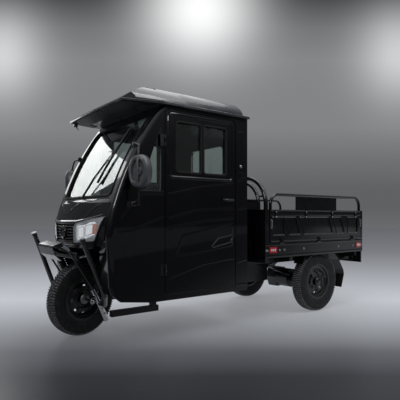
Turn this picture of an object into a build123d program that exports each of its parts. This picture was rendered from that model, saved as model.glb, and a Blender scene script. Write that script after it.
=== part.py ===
from build123d import *
import os
from math import asin, cos, radians, sin

# Cargo tricycle: enclosed cab over a single steered front wheel, drop-side bed over a driven rear axle.
# Millimetres. X is the vehicle's left, Y runs rearwards, Z is up, the ground is at Z = 0.
# Y is counted from a datum beside the front axle; at the end all pieces move to the frame's origin.

# Running gear
tyre_radius = 280.0
tyre_width = 110.0
tread_width = 90.0
crown_radius = 180.0
rim_radius = 153.0
rim_flange_radius = 166.0
rim_width = 96.0
rim_sheet = 5.0
front_axle_y = 5.0
rear_axle_y = 2150.0
rear_track_half = 480.0
running_gap = 0.05
face_gap = 0.3
moving_gap = 5.0

# Steering: raked axis, shown turned to the left as parked
steer_angle = 14.0
steer_rake = 12.0
steer_offset = 65.0
stem_radius = 16.0

# Cab
cab_half = 530.0
cab_wall = 30.0
cab_bottom = 294.0
door_low = cab_bottom + 46
cab_rear = 1220.0
cab_top = 1708.0
arch_half = 380.0
arch_roof = 694.0
head_tube_low = arch_roof - 4
head_tube_high = arch_roof + 156
arch_back = 300.0
arch_sheet = 6.0
cab_edge_radius = 34.0
floor_top = 372.0
door_front = 415.0
door_rear = 1085.0
door_top = 1685.0
door_corner = 40.0
door_foot_corner = 12.0
glass_thickness = 5.0

# Nose
nose_half = 486.0
nose_bottom = 672.0
nose_shoulder = 1000.0
nose_wall = 14.0
grille_low = 714.0
grille_high = 863.0
grille_half = 178.0

# Roof
roof_half = 566.0
visor_half = 486.0
visor_front = 85.0
visor_height = cab_top + 14
roof_crown = 1886.0
roof_rear = 1216.0
roof_wall = 12.0
roof_opening_half = 470.0
roof_opening = (440.0, 1150.0)

# Bed
bed_front = 1400.0
bed_rear = 2830.0
bed_half = 560.0
bed_floor = 672.0
sill_low = 547.0
board_thickness = 25.0
board_top = 965.0
rail_top = 1112.0
rail_radius = 14.0
rail_corner = 90.0
infill_front = bed_front + 402
infill_rear = bed_rear - 430
hoop_radius = 19.0
hoop_top = 1266.0
hoop_corner = 245.0
hoop_tie_z = 1080.0

# Chassis
rail_half = 310.0
rail_width = 40.0
rail_depth = 70.0
rail_low = 470.0
cab_rail_low = 298.0
cab_rail_depth = 47.0
cab_rail_top = cab_rail_low + cab_rail_depth

# The steered wheel leans as it turns; its hub stands at the height where the crown just touches the ground
wheel_lean = asin(sin(radians(steer_angle)) * sin(radians(steer_rake)))
steer_rise = steer_offset * sin(radians(steer_rake)) * cos(radians(steer_rake)) * (1 - cos(radians(steer_angle)))
front_hub_z = (tyre_radius - crown_radius) * cos(wheel_lean) + crown_radius - steer_rise
steer_foot = Vector(0, front_axle_y - steer_offset, front_hub_z)
steer_direction = Vector(0, sin(radians(steer_rake)), cos(radians(steer_rake)))
steer_axis = Axis(steer_foot, steer_direction)

pieces = {}


def keep(name, piece):
    """Store a finished piece under its node's name."""
    pieces[name] = piece


def steered(piece):
    """Turn a piece of the front assembly, built straight ahead, to the parked steering angle."""
    return piece.rotate(steer_axis, steer_angle)


def other_side(piece):
    """The same piece on the vehicle's other side."""
    return mirror(piece, about=Plane.YZ)


def axis_point(height):
    """The point of the steering axis at a height."""
    return steer_foot + steer_direction * ((height - front_hub_z) / cos(radians(steer_rake)))


def plate_yz(points, x_from, x_to, radius=0.0):
    """A plate outlined in the side view, from one X to another, with rounded corners."""
    with BuildPart() as plate:
        with BuildSketch(Plane.YZ.offset(x_from)) as outline:
            with BuildLine():
                Polyline(*points, close=True)
            make_face()
            if radius:
                fillet(outline.vertices(), radius)
        extrude(amount=x_to - x_from)
    return plate.part


def block(x_range, y_range, z_range):
    """A box given by its ranges."""
    size = [high - low for low, high in (x_range, y_range, z_range)]
    middle = tuple((high + low) / 2 for low, high in (x_range, y_range, z_range))
    with BuildPart() as box:
        with Locations(middle):
            Box(*size)
    return box.part


def tube(points, radius, corner):
    """A round bar along straight runs with rounded corners."""
    with BuildPart() as bar:
        with BuildLine() as path:
            if corner:
                FilletPolyline(*points, radius=corner)
            else:
                Polyline(*points)
        with BuildSketch(path.line ^ 0):
            Circle(radius)
        sweep()
    return bar.part


# Wheels

def make_tyre():
    """Tyre about the X axis: rounded crown, shoulders and bulged walls."""
    half, tread = tyre_width / 2, tread_width / 2
    shoulder = tyre_radius - crown_radius + (crown_radius**2 - tread**2) ** 0.5
    wall = (tyre_radius + rim_radius) / 2 - 4
    bead = rim_width / 2 - rim_sheet - face_gap
    with BuildPart() as tyre:
        with BuildSketch(Plane.XZ):
            with BuildLine():
                ThreePointArc((-tread, shoulder), (0, tyre_radius), (tread, shoulder))
                Line((tread, shoulder), (tread + 4, shoulder - 12))
                ThreePointArc((tread + 4, shoulder - 12), (half, wall), (bead, rim_flange_radius + 2))
                Polyline(
                    (bead, rim_flange_radius + 2), (bead, rim_radius + face_gap),
                    (-bead, rim_radius + face_gap), (-bead, rim_flange_radius + 2),
                )
                ThreePointArc((-bead, rim_flange_radius + 2), (-half, wall), (-tread - 4, shoulder - 12))
                Line((-tread - 4, shoulder - 12), (-tread, shoulder))
            make_face()
        revolve(axis=Axis.X)
    return tyre.part


def make_rim(bore, hole_count):
    """Pressed steel rim about the X axis: flanges, well, dished disc with hand holes, brake drum and hub."""
    half = rim_width / 2
    sheet = rim_sheet
    disc_x = 14.0
    with BuildPart() as rim:
        with BuildSketch(Plane.XZ):
            with BuildLine():
                Polyline(
                    (-half, rim_flange_radius), (-half + sheet, rim_flange_radius), (-half + sheet, rim_radius),
                    (-half + 20, rim_radius - 3), (-half + 28, rim_radius - 22), (half - 28, rim_radius - 22),
                    (half - 20, rim_radius - 3), (half - sheet, rim_radius), (half - sheet, rim_flange_radius),
                    (half, rim_flange_radius), (half, rim_radius - sheet), (half - 16, rim_radius - sheet - 4),
                    (half - 25, rim_radius - 22 - sheet), (-half + 25, rim_radius - 22 - sheet),
                    (-half + 16, rim_radius - sheet - 4), (-half, rim_radius - sheet), close=True,
                )
            make_face()
        revolve(axis=Axis.X)
        with BuildSketch(Plane.XZ):
            with BuildLine():
                Polyline(
                    (disc_x, rim_radius - 22 - sheet), (disc_x + 6, rim_radius - 22 - sheet), (disc_x + 22, 96),
                    (disc_x + 22, 74), (disc_x + 8, 62), (disc_x + 8, drum_radius - 50),
                    (disc_x, drum_radius - 50), (disc_x, 62), (disc_x + 14, 78),
                    (disc_x + 14, 93), close=True,
                )
            make_face()
        revolve(axis=Axis.X)
        with BuildSketch(Plane.YZ.offset(-half - 6)):
            Circle(drum_radius - 12)
        extrude(amount=disc_x + half + 6)
        with BuildSketch(Plane.YZ.offset(disc_x)):
            Circle(38)
        extrude(amount=30)
        with BuildSketch(Plane.YZ.offset(disc_x - 1)):
            with PolarLocations(106, hole_count):
                SlotOverall(26, 15, rotation=90)
        extrude(amount=40, mode=Mode.SUBTRACT)
        with BuildSketch(Plane.YZ.offset(-half - 10)):
            Circle(bore)
        extrude(amount=2 * half + 40, mode=Mode.SUBTRACT)
    return rim.part


drum_radius = 100.0
front_spindle = 10.0
rear_spindle = 17.0


def place_wheel(piece, x, y, z, outward):
    """Put a wheel piece on its axle, its disc's outer side to the left or to the right."""
    turned = piece if outward > 0 else mirror(piece, about=Plane.YZ)
    return turned.moved(Location((x, y, z)))


tyre = make_tyre()
front_rim = make_rim(front_spindle + running_gap, 8)
rear_rim = make_rim(rear_spindle + running_gap, 10)
keep("front_tyre", steered(place_wheel(tyre, 0, front_axle_y, front_hub_z, 1)))
keep("front_rim", steered(place_wheel(front_rim, 0, front_axle_y, front_hub_z, 1)))
for side_name, side in (("left", 1), ("right", -1)):
    keep(f"rear_tyre_{side_name}", place_wheel(tyre, side * rear_track_half, rear_axle_y, tyre_radius, side))
    keep(f"rear_rim_{side_name}", place_wheel(rear_rim, side * rear_track_half, rear_axle_y, tyre_radius, side))


# Front fork: leans forward at the top, with the axle carried ahead of its sliders

slider_half = 125.0
slider_foot = (148.0, 110.0)
slider_head = (-128.0, 620.0)
slider_radius = 19.0
spring_radius = 29.0
spring_wire = 9.0
crown_low = 604.0
crown_high = 636.0
lug_thickness = 22.0


def fork_point(share):
    """A point of a slider's centre line in the side view, from its foot to its head."""
    return tuple(low + (high - low) * share for low, high in zip(slider_foot, slider_head))


def make_fork():
    """Crown, steering stem, two sliders with the axle lugs that reach forward, and the spindle."""
    stem_low, stem_high = axis_point(crown_high - 6), axis_point(head_tube_high + 30)
    lug_y, lug_z = fork_point(0.37)
    with BuildPart() as fork:
        for side in (1, -1):
            x = side * slider_half
            add(tube([(x, *slider_foot), (x, *slider_head)], slider_radius, 0))
            add(plate_yz(
                [(front_axle_y - 20, front_hub_z - 22), (lug_y - 4, lug_z - 48), (lug_y - 2, lug_z + 34),
                 (front_axle_y - 6, front_hub_z + 24)],
                x - lug_thickness / 2, x + lug_thickness / 2, 9,
            ))
        add(plate_yz(
            [(slider_head[0] - 30, crown_low), (slider_head[0] - 30, crown_high), (stem_low.Y + 34, crown_high),
             (stem_low.Y + 34, crown_low)],
            -slider_half - 26, slider_half + 26, 8,
        ))
        add(tube([tuple(stem_low), tuple(stem_high)], stem_radius, 0))
        add(tube(
            [(-slider_half - 24, front_axle_y, front_hub_z), (slider_half + 24, front_axle_y, front_hub_z)],
            front_spindle, 0,
        ))
    return fork.part


def make_fork_springs():
    """The springs outside the sliders: a sleeve each, with a ring for every turn."""
    turns = 11
    low, high = Vector(0, *fork_point(0.55)), Vector(0, *fork_point(0.93))
    run = high - low
    with BuildPart() as springs:
        for side in (1, -1):
            plane = Plane(origin=Vector(side * slider_half, low.Y, low.Z), z_dir=run)
            with BuildSketch(plane):
                Circle(slider_radius + 5)
                Circle(slider_radius + face_gap, mode=Mode.SUBTRACT)
            extrude(amount=run.length)
            for turn in range(turns):
                with BuildSketch(plane.offset(run.length * (turn + 0.25) / turns)):
                    Circle(spring_radius)
                    Circle(slider_radius + 2, mode=Mode.SUBTRACT)
                extrude(amount=spring_wire)
    return springs.part


fork = make_fork()
keep("front_fork", steered(fork))
keep("fork_springs", steered(make_fork_springs()))


# Front fender: a deck over the tyre with a turned-down nose, on a pair of stays

fender_half = 92.0
fender_sheet = 5.0
fender_line = [(-236, 598), (-288, 640), (-312, 700), (-240, 720), (-188, 692), (-160, 652), (-112, 645)]
skirt_line = ((-306, 701), (-240, 720), (-188, 692), (-160, 652), (-112, 645), (-112, 632), (-172, 636),
              (-226, 668))
stay_radius = 7.0
stay_x = 158.0
stay_share = 0.41


def make_fender():
    """The deck as a bent sheet, side skirts, and two stays down to the sliders."""
    foot_y, foot_z = fork_point(stay_share)
    with BuildPart() as fender:
        with BuildSketch(Plane.YZ.offset(-fender_half)):
            with BuildLine() as deck:
                FilletPolyline(*fender_line, radius=12)
                offset(amount=fender_sheet, side=Side.LEFT)
            make_face()
        extrude(amount=2 * fender_half)
        for side in (1, -1):
            inner, outer = sorted((side * (fender_half - 4), side * fender_half))
            add(plate_yz(skirt_line, inner, outer))
            add(tube(
                [(side * (fender_half - 2), -236, 690), (side * stay_x, -222, 668),
                 (side * stay_x, foot_y - 30, foot_z + 26), (side * (slider_half + slider_radius - 2), foot_y, foot_z)],
                stay_radius, 12,
            ))
        add(fork, mode=Mode.SUBTRACT)
    return fender.part


fender = make_fender()
keep("front_fender", steered(fender))


# Front guard: two bent tubes with capped tips, from the sliders' feet up before the lamps

guard_radius = 18.0
guard_tip = (308.0, -214.0, 744.0)
guard_knee = (330.0, -38.0, 358.0)
guard_share = 0.28
strut_share = 0.24
strut_radius = 11.0


def make_guard():
    """Both side tubes and the two struts to the crown's ends."""
    foot_y, foot_z = fork_point(guard_share)
    with BuildPart() as guard:
        for side in (1, -1):
            tip, knee = [(side * x, y, z) for x, y, z in (guard_tip, guard_knee)]
            ankle = (side * 222.0, foot_y - 20, foot_z + 4)
            foot = (side * (slider_half + slider_radius - 1), foot_y, foot_z)
            add(tube([tip, knee, ankle, foot], guard_radius, 24))
            with BuildSketch(Plane(origin=tip, z_dir=Vector(*tip) - Vector(*knee))):
                Circle(guard_radius + 2)
            extrude(amount=26)
            joint = Vector(*tip) + (Vector(*knee) - Vector(*tip)) * strut_share
            strut = Vector(side * (slider_half + 24), slider_head[0] - 4, crown_low + 12)
            add(tube([tuple(joint), tuple(strut)], strut_radius, 0))
        add(fork, mode=Mode.SUBTRACT)
    return guard.part


keep("front_guard", steered(make_guard()))

bar_height = 1035.0
bar_y = 240.0
grip_half = 330.0


def make_handlebar():
    """Goose neck clamped on the stem, and the bent bar with its grips."""
    clamp_low, clamp_high = axis_point(head_tube_high + 6), axis_point(head_tube_high + 44)
    with BuildPart() as handlebar:
        with BuildLine() as line:
            Line(clamp_low, clamp_high)
        with BuildSketch(line.line ^ 0):
            Circle(stem_radius + 9)
            Circle(stem_radius, mode=Mode.SUBTRACT)
        sweep(path=line.line)
        neck_low = axis_point(head_tube_high + 38)
        add(tube(
            [(0, neck_low.Y + 22, neck_low.Z), (0, bar_y - 50, neck_low.Z + 45), (0, bar_y, bar_height)],
            14, 30,
        ))
        add(tube(
            [(-grip_half, bar_y + 95, bar_height - 20), (-grip_half + 130, bar_y + 62, bar_height - 6),
             (-90, bar_y, bar_height), (90, bar_y, bar_height),
             (grip_half - 130, bar_y + 62, bar_height - 6), (grip_half, bar_y + 95, bar_height - 20)],
            11, 40,
        ))
        for side in (1, -1):
            inner = Vector(side * (grip_half - 120), bar_y + 65, bar_height - 7.2)
            outer = Vector(side * grip_half, bar_y + 95, bar_height - 20)
            add(tube([tuple(inner), tuple(outer)], 16, 0))
    return handlebar.part


keep("handlebar", steered(make_handlebar()))


# Cab shell

def cab_outline():
    """Side view of the cab: slanted toe, upright nose wall, bowed windscreen, flat top."""
    toe = arch_roof + arch_sheet
    Polyline((cab_rear, cab_bottom), (300, cab_bottom), (61, cab_bottom + 29), (2, cab_bottom + 79),
             (-14, cab_bottom + 126), (-30, toe))
    low = TangentArc((-30, toe), (5, toe + 281), tangent=(-18, 328))
    TangentArc((5, toe + 281), (385, cab_top), tangent=low % 1)
    Line((385, cab_top), (cab_rear, cab_top))
    Line((cab_rear, cab_top), (cab_rear, cab_bottom))


def cab_solid(inset):
    """The cab as a full block, moved in on every side by an inset, its corners rounded."""
    half = cab_half - inset
    radius = max(cab_edge_radius - inset, 4)
    with BuildPart() as solid:
        with BuildSketch(Plane.YZ.offset(-half)) as outline:
            with BuildLine():
                cab_outline()
            make_face()
            if inset:
                offset(amount=-inset, kind=Kind.INTERSECTION, mode=Mode.REPLACE)
        extrude(amount=2 * half)
        sides = solid.edges().filter_by_position(Axis.X, half, half) + solid.edges().filter_by_position(
            Axis.X, -half, -half
        )
        front = [e for e in sides if e.center().Y < 320 and e.center().Z > cab_bottom + 100]
        fillet(front, radius)
    return solid.part


windscreen_half = 452.0
windscreen_low = 1060.0
windscreen_high = 1650.0
door_gap = 5.0
latch_gap = 6.0
quarter_window = [(207, 1086), (378, 1086), (388, 1545), (372, 1545)]
rear_window_half = 240.0
rear_window_low = 1180.0
rear_window_high = 1525.0


def rounded_xz(x_low, x_high, z_low, z_high, radius, y_from, y_to):
    """A rounded rectangle of the front view, as a bar along Y."""
    with BuildPart() as bar:
        with BuildSketch(Plane.XZ.offset(-y_from)):
            with Locations(((x_low + x_high) / 2, (z_low + z_high) / 2)):
                RectangleRounded(x_high - x_low, z_high - z_low, radius)
        extrude(amount=y_from - y_to)
    return bar.part


def door_plate(grow, x_from, x_to):
    """The door in the side view, moved out by a gap, as a bar along X."""
    rear = door_rear + (latch_gap if grow else 0)
    with BuildPart() as plate:
        with BuildSketch(Plane.YZ.offset(x_from)) as outline:
            with BuildLine():
                Polyline((door_front - grow, door_low - grow), (door_front - grow, door_top + grow),
                         (rear, door_top + grow), (rear, door_low - grow), close=True)
            make_face()
            fillet(outline.vertices().sort_by(Axis.Y)[2:], door_corner + grow)
            fillet(outline.vertices().sort_by(Axis.Y)[:2], door_foot_corner + grow)
        extrude(amount=x_to - x_from)
    return plate.part


outer = cab_solid(0)
inner = cab_solid(cab_wall)
with BuildPart() as shell:
    add(outer)
    add(inner, mode=Mode.SUBTRACT)
    add(block((-cab_half + cab_wall, cab_half - cab_wall), (-100, cab_rear - cab_wall), (0, floor_top)),
        mode=Mode.SUBTRACT)
    add(block((-arch_half, arch_half), (-100, arch_back), (0, arch_roof)), mode=Mode.SUBTRACT)
    add(rounded_xz(-windscreen_half, windscreen_half, windscreen_low, windscreen_high, 45, -100, 470),
        mode=Mode.SUBTRACT)
    add(rounded_xz(-rear_window_half, rear_window_half, rear_window_low, rear_window_high, 40, 1100, 1300),
        mode=Mode.SUBTRACT)
    for side in (1, -1):
        x_low, x_high = sorted((side * 460, side * 600))
        add(plate_yz(quarter_window, x_low, x_high, 6), mode=Mode.SUBTRACT)
cab_shell = shell.part


def part_of_shell(*cuts):
    """The shell inside a box, less further cutters."""
    limits, *cutters = cuts
    with BuildPart() as piece:
        add(cab_shell)
        add(block(*limits), mode=Mode.INTERSECT)
        for cutter in cutters:
            add(cutter, mode=Mode.SUBTRACT)
    return piece.part


far = 3000.0
door_hole = door_plate(door_gap, windscreen_half, 600)
cab_side = part_of_shell(((windscreen_half, far), (-far, far), (0, far)), door_hole)
keep("cab_side_left", cab_side)
keep("cab_side_right", other_side(cab_side))
keep("cab_front", part_of_shell(((-windscreen_half, windscreen_half), (-far, 400), (0, windscreen_low))))
keep("cab_header", part_of_shell(
    ((-windscreen_half, windscreen_half), (-far, cab_rear - cab_wall), (windscreen_low + 200, far))))
keep("cab_rear_wall", part_of_shell(
    ((-windscreen_half, windscreen_half), (cab_rear - cab_wall, far), (cab_rail_top, far))))

with BuildPart() as floor:
    add(block((-cab_half + cab_wall, cab_half - cab_wall), (95, cab_rear - cab_wall), (floor_top - 27, floor_top)))
    add(block((-arch_half - arch_sheet, arch_half + arch_sheet), (0, arch_back + arch_sheet), (0, far)),
        mode=Mode.SUBTRACT)
    add(block((-45, 45), (arch_back + arch_sheet, arch_back + 90), (0, far)), mode=Mode.SUBTRACT)
keep("cab_floor", floor.part)

with BuildPart() as arch:
    add(block((-arch_half - arch_sheet, arch_half + arch_sheet), (-8, arch_back + arch_sheet),
              (floor_top - 27, arch_roof + arch_sheet)))
    add(block((-arch_half, arch_half), (-20, arch_back), (0, arch_roof)), mode=Mode.SUBTRACT)
    add(inner, mode=Mode.INTERSECT)
    add(tube([tuple(axis_point(arch_roof - 94)), tuple(axis_point(arch_roof + 66))],
             stem_radius + moving_gap + 1, 0), mode=Mode.SUBTRACT)
keep("wheel_arch", arch.part)


# Doors

window_front = 510.0
window_rear = 990.0
window_low = 1230.0
window_high = 1605.0
window_divider = 752.0
divider_width = 22.0
hinge_x = 537.0
hinge_y = 412.0
hinge_heights = (520.0, 1455.0)
hinge_length = 84.0
hinge_radius = 6.5
hinge_pin = 3.5


def window_panes(gap, x_from, x_to):
    """Both panes of the door window as bars across the door."""
    spans = ((window_front, window_divider - divider_width / 2), (window_divider + divider_width / 2, window_rear))
    with BuildPart() as panes:
        for low, high in spans:
            add(plate_yz(
                [(low + gap, window_low + gap), (high - gap, window_low + gap), (high - gap, window_high - gap),
                 (low + gap, window_high - gap)],
                x_from, x_to, 26,
            ))
    return panes.part


def hinge_leaf(height, y_low, y_high, spans):
    """One half of a door hinge: leaf on the skin and its knuckles round the pin."""
    with BuildPart() as leaf:
        add(block((cab_half, cab_half + 3), (y_low, y_high), (height - hinge_length / 2, height + hinge_length / 2)))
        for low, high in spans:
            with BuildSketch(Plane.XY.offset(height + low)):
                with Locations((hinge_x, hinge_y)):
                    Circle(hinge_radius)
                with Locations(((cab_half + hinge_x) / 2 - 2, (hinge_y + (y_low if y_low > hinge_y else y_high)) / 2)):
                    Rectangle(3, abs(hinge_y - (y_low if y_low > hinge_y else y_high)) + 2)
            extrude(amount=high - low)
    return leaf.part


def make_door():
    """Left door: plate cut from the cab's side, two window openings, hinge leaves."""
    third = hinge_length / 6
    with BuildPart() as door:
        add(cab_shell)
        add(door_plate(0, windscreen_half, 600), mode=Mode.INTERSECT)
        add(window_panes(0, windscreen_half, 600), mode=Mode.SUBTRACT)
        for height in hinge_heights:
            add(hinge_leaf(height, hinge_y + 9, hinge_y + 40, ((-third, third),)))
            with BuildSketch(Plane.XY.offset(height - hinge_length / 2)):
                with Locations((hinge_x, hinge_y)):
                    Circle(hinge_pin + running_gap)
            extrude(amount=hinge_length, mode=Mode.SUBTRACT)
    return door.part


def make_side_hinges():
    """The cab's halves of the left door's hinges with their pins."""
    third = hinge_length / 6
    with BuildPart() as hinges:
        for height in hinge_heights:
            add(hinge_leaf(height, hinge_y - 40, hinge_y - 9, ((-3 * third, -third - 0.5), (third + 0.5, 3 * third))))
            with BuildSketch(Plane.XY.offset(height - hinge_length / 2)):
                with Locations((hinge_x, hinge_y)):
                    Circle(hinge_pin)
            extrude(amount=hinge_length)
    return hinges.part


handle_front = door_rear - 125
handle_rear = door_rear - 27
handle_height = 1035.0


def make_handle():
    """Pull handle on the door's outer skin."""
    low, high, height = handle_front, handle_rear, handle_height
    with BuildPart() as handle:
        add(tube([(cab_half, low, height), (cab_half + 26, low + 14, height), (cab_half + 26, high - 14, height),
                  (cab_half, high, height)], 9, 12))
        add(block((cab_half, cab_half + 4), (low - 14, high + 14), (height - 24, height + 24)))
        add(door, mode=Mode.SUBTRACT)
    return handle.part


door = make_door()
hinges = make_side_hinges()
glass_x = cab_half - cab_wall / 2
door_glass = window_panes(face_gap, glass_x - glass_thickness / 2, glass_x + glass_thickness / 2)
handle = make_handle()
for side_name, turn in (("left", lambda piece: piece), ("right", other_side)):
    keep(f"door_{side_name}", turn(door))
    keep(f"door_glass_{side_name}", turn(door_glass))
    keep(f"door_handle_{side_name}", turn(handle))
    keep(f"door_hinges_{side_name}", turn(hinges))


# Fixed glass

def make_windscreen():
    """Bowed pane between the pillars, a slice of the cab's own outline."""
    gap = face_gap
    with BuildPart() as pane:
        add(cab_solid(12))
        add(cab_solid(12 + glass_thickness), mode=Mode.SUBTRACT)
        add(rounded_xz(-windscreen_half + gap, windscreen_half - gap, windscreen_low + gap, windscreen_high - gap,
                       45, -100, 470), mode=Mode.INTERSECT)
    return pane.part


def make_cab_glass():
    """Quarter windows and the rear window."""
    with BuildPart() as panes:
        for side in (1, -1):
            x_low, x_high = sorted((side * (glass_x - 2.5), side * (glass_x + 2.5)))
            with BuildSketch(Plane.YZ.offset(x_low)) as outline:
                with BuildLine():
                    Polyline(*quarter_window, close=True)
                make_face()
                fillet(outline.vertices(), 6)
                offset(amount=-face_gap, mode=Mode.REPLACE)
            extrude(amount=x_high - x_low)
        middle = cab_rear - cab_wall / 2
        add(rounded_xz(-rear_window_half + face_gap, rear_window_half - face_gap, rear_window_low + face_gap,
                       rear_window_high - face_gap, 40, middle - 2.5, middle + 2.5))
    return panes.part


keep("windscreen", make_windscreen())
keep("cab_glass", make_cab_glass())


# Nose: height, half width, Y at the corners, Y at the centre
nose_sections = (
    (nose_bottom, 452.0, -8.0, -112.0),
    (nose_bottom + 28, 478.0, -20.0, -134.0),
    (grille_high, nose_half, -20.0, -141.0),
    (nose_shoulder, 470.0, 6.0, -104.0),
    (nose_shoulder + 42, 452.0, 34.0, 20.0),
)


def nose_block(inset):
    """The nose as a full block, moved in by an inset and open downwards when it is a cutter."""
    with BuildPart() as solid:
        for height, half, corner, middle in nose_sections:
            level = height - (inset if height > grille_high + 50 else 0)
            if inset and height == nose_bottom:
                level = nose_bottom - 60
            with BuildSketch(Plane.XY.offset(level)):
                with BuildLine():
                    ThreePointArc((-half + inset, corner + inset), (0, middle + inset), (half - inset, corner + inset))
                    Polyline((half - inset, corner + inset), (half - inset, 90), (-half + inset, 90),
                             (-half + inset, corner + inset))
                make_face()
        loft(ruled=True)
    return solid.part


lamp_outline = [(208, 718), (250, 858), (480, 906), (474, 748)]


def lamp_bar(grow):
    """A headlamp's outline in the front view, as a bar along Y."""
    with BuildPart() as bar:
        with BuildSketch(Plane.XZ.offset(-120)) as outline:
            with BuildLine():
                Polyline(*lamp_outline, close=True)
            make_face()
            fillet(outline.vertices(), 16)
            if grow:
                offset(amount=grow, mode=Mode.REPLACE)
        extrude(amount=400)
    return bar.part


nose_full = nose_block(0)
nose_inner = nose_block(nose_wall)
with BuildPart() as nose:
    add(nose_full)
    add(nose_inner, mode=Mode.SUBTRACT)
    add(outer, mode=Mode.SUBTRACT)
    add(rounded_xz(-grille_half, grille_half, grille_low, grille_high, 12, -300, 0), mode=Mode.SUBTRACT)
    add(lamp_bar(0), mode=Mode.SUBTRACT)
    add(mirror(lamp_bar(0), about=Plane.YZ), mode=Mode.SUBTRACT)
keep("cab_nose", nose.part)


def make_headlamp():
    """Left headlamp: a lens shell as deep as the lamp, in the nose's own surface."""
    with BuildPart() as lamp:
        add(nose_full)
        add(lamp_bar(-face_gap), mode=Mode.INTERSECT)
        add(nose_block(55), mode=Mode.SUBTRACT)
        add(outer, mode=Mode.SUBTRACT)
    return lamp.part


headlamp = make_headlamp()
keep("headlamp_left", headlamp)
keep("headlamp_right", other_side(headlamp))

bar_count = 6
boss_radius = 52.0


def make_grille_slots():
    """The openings between the grille's bars, clear of its round boss."""
    pitch = (grille_high - grille_low - 24) / bar_count
    with BuildPart() as slots:
        with BuildSketch(Plane.XZ):
            for index in range(bar_count):
                with Locations((0, grille_low + 12 + pitch * (index + 0.5))):
                    Rectangle(2 * grille_half - 24, pitch - 9)
            with Locations((0, (grille_low + grille_high) / 2)):
                Circle(boss_radius, mode=Mode.SUBTRACT)
        extrude(amount=300)
    return slots.part


def make_grille():
    """Grille set in the nose: horizontal bars and a round boss."""
    with BuildPart() as grille:
        add(nose_full)
        add(nose_block(18), mode=Mode.SUBTRACT)
        add(rounded_xz(-grille_half + face_gap, grille_half - face_gap, grille_low + face_gap,
                       grille_high - face_gap, 12, -300, 0), mode=Mode.INTERSECT)
        add(make_grille_slots(), mode=Mode.SUBTRACT)
    return grille.part


keep("grille", make_grille())


# Roof: a hollow moulding; the front hump carries a visor and ends in a slanted shoulder before a narrower deck

hump_half = 512.0
hump_shoulder = 2384.0
deck_half = 484.0
deck_top = roof_crown - 22
gutter_top = cab_top + 22


def roof_plan(inset):
    """Outline from above: the visor widens to the gutter's full width."""
    front, rear, half = visor_front + inset, roof_rear - inset, roof_half - inset
    corner = visor_half - inset
    ThreePointArc((-corner, front + 4), (0, front - 12), (corner, front + 4))
    Polyline((corner, front + 4), (half, 385), (half, rear), (-half, rear), (-half, 385), (-corner, front + 4))


def roof_hump(inset):
    """Visor and front hump as a full block, cut behind by the slanted shoulder."""
    front, rear = visor_front + inset, roof_rear - inset
    base, top, half = cab_top, roof_crown - inset, hump_half - inset
    with BuildPart() as solid:
        with BuildSketch(Plane.YZ.offset(-700)):
            with BuildLine():
                ThreePointArc((front, visor_height - inset), (260, top - 60), (500, top))
                Polyline((500, top), (rear, top), (rear, base), (front, base), (front, visor_height - inset))
            make_face()
        extrude(amount=1400)
        with BuildSketch(Plane.XZ.offset(200)):
            with BuildLine():
                Polyline((-half, gutter_top + 6 - inset), (-roof_half + inset, gutter_top - inset),
                         (-roof_half + inset, base), (roof_half - inset, base),
                         (roof_half - inset, gutter_top - inset), (half, gutter_top + 6 - inset))
                ThreePointArc((half, gutter_top + 6 - inset), (half - 42, top - 70), (half - 150, top - 34))
                ThreePointArc((half - 150, top - 34), (0, top + 10), (-half + 150, top - 34))
                ThreePointArc((-half + 150, top - 34), (-half + 42, top - 70), (-half, gutter_top + 6 - inset))
            make_face()
        extrude(amount=-1800, mode=Mode.INTERSECT)
        with BuildSketch(Plane.XY.offset(1500)):
            with BuildLine():
                roof_plan(inset)
            make_face()
        extrude(amount=600, mode=Mode.INTERSECT)
        with BuildSketch(Plane.YZ.offset(-700)):
            with BuildLine():
                shoulder = hump_shoulder - inset * 1.4
                Polyline((0, base), (shoulder - base, base), (shoulder - 2000, 2000), (0, 2000), close=True)
            make_face()
        extrude(amount=1400, mode=Mode.INTERSECT)
    return solid.part


def roof_deck(inset):
    """The lower deck behind the hump, rounded down at the rear."""
    half, top, rear = deck_half - inset, deck_top - inset, roof_rear - 4 - inset
    with BuildPart() as solid:
        with BuildSketch(Plane.YZ.offset(-700)):
            with BuildLine():
                Polyline((380, cab_top), (380, top), (1040, top))
                ThreePointArc((1040, top), (rear - 40, top - 52), (rear, cab_top + 14))
                Polyline((rear, cab_top + 14), (rear, cab_top), (380, cab_top))
            make_face()
        extrude(amount=1400)
        with BuildSketch(Plane.XZ.offset(200)):
            with BuildLine():
                Line((-half, cab_top), (half, cab_top))
                ThreePointArc((half, cab_top), (half - 6, top - 62), (half - 52, top - 18))
                ThreePointArc((half - 52, top - 18), (0, top + 2), (-half + 52, top - 18))
                ThreePointArc((-half + 52, top - 18), (-half + 6, top - 62), (-half, cab_top))
            make_face()
        extrude(amount=-1800, mode=Mode.INTERSECT)
    return solid.part


with BuildPart() as hollow:
    add(roof_hump(roof_wall))
    add(roof_deck(roof_wall))
    add(block((-far, far), (-far, far), (cab_top + roof_wall, far)), mode=Mode.INTERSECT)
with BuildPart() as roof:
    with BuildSketch(Plane.XY.offset(cab_top)):
        with BuildLine():
            roof_plan(0)
        make_face()
    extrude(amount=roof_wall)
    add(roof_hump(0))
    add(roof_deck(0))
    add(hollow.part, mode=Mode.SUBTRACT)
    add(block((-roof_opening_half, roof_opening_half), roof_opening, (0, cab_top + roof_wall + 1)),
        mode=Mode.SUBTRACT)
keep("roof", roof.part)


# Wiper, mirrors, seat and dashboard

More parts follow.
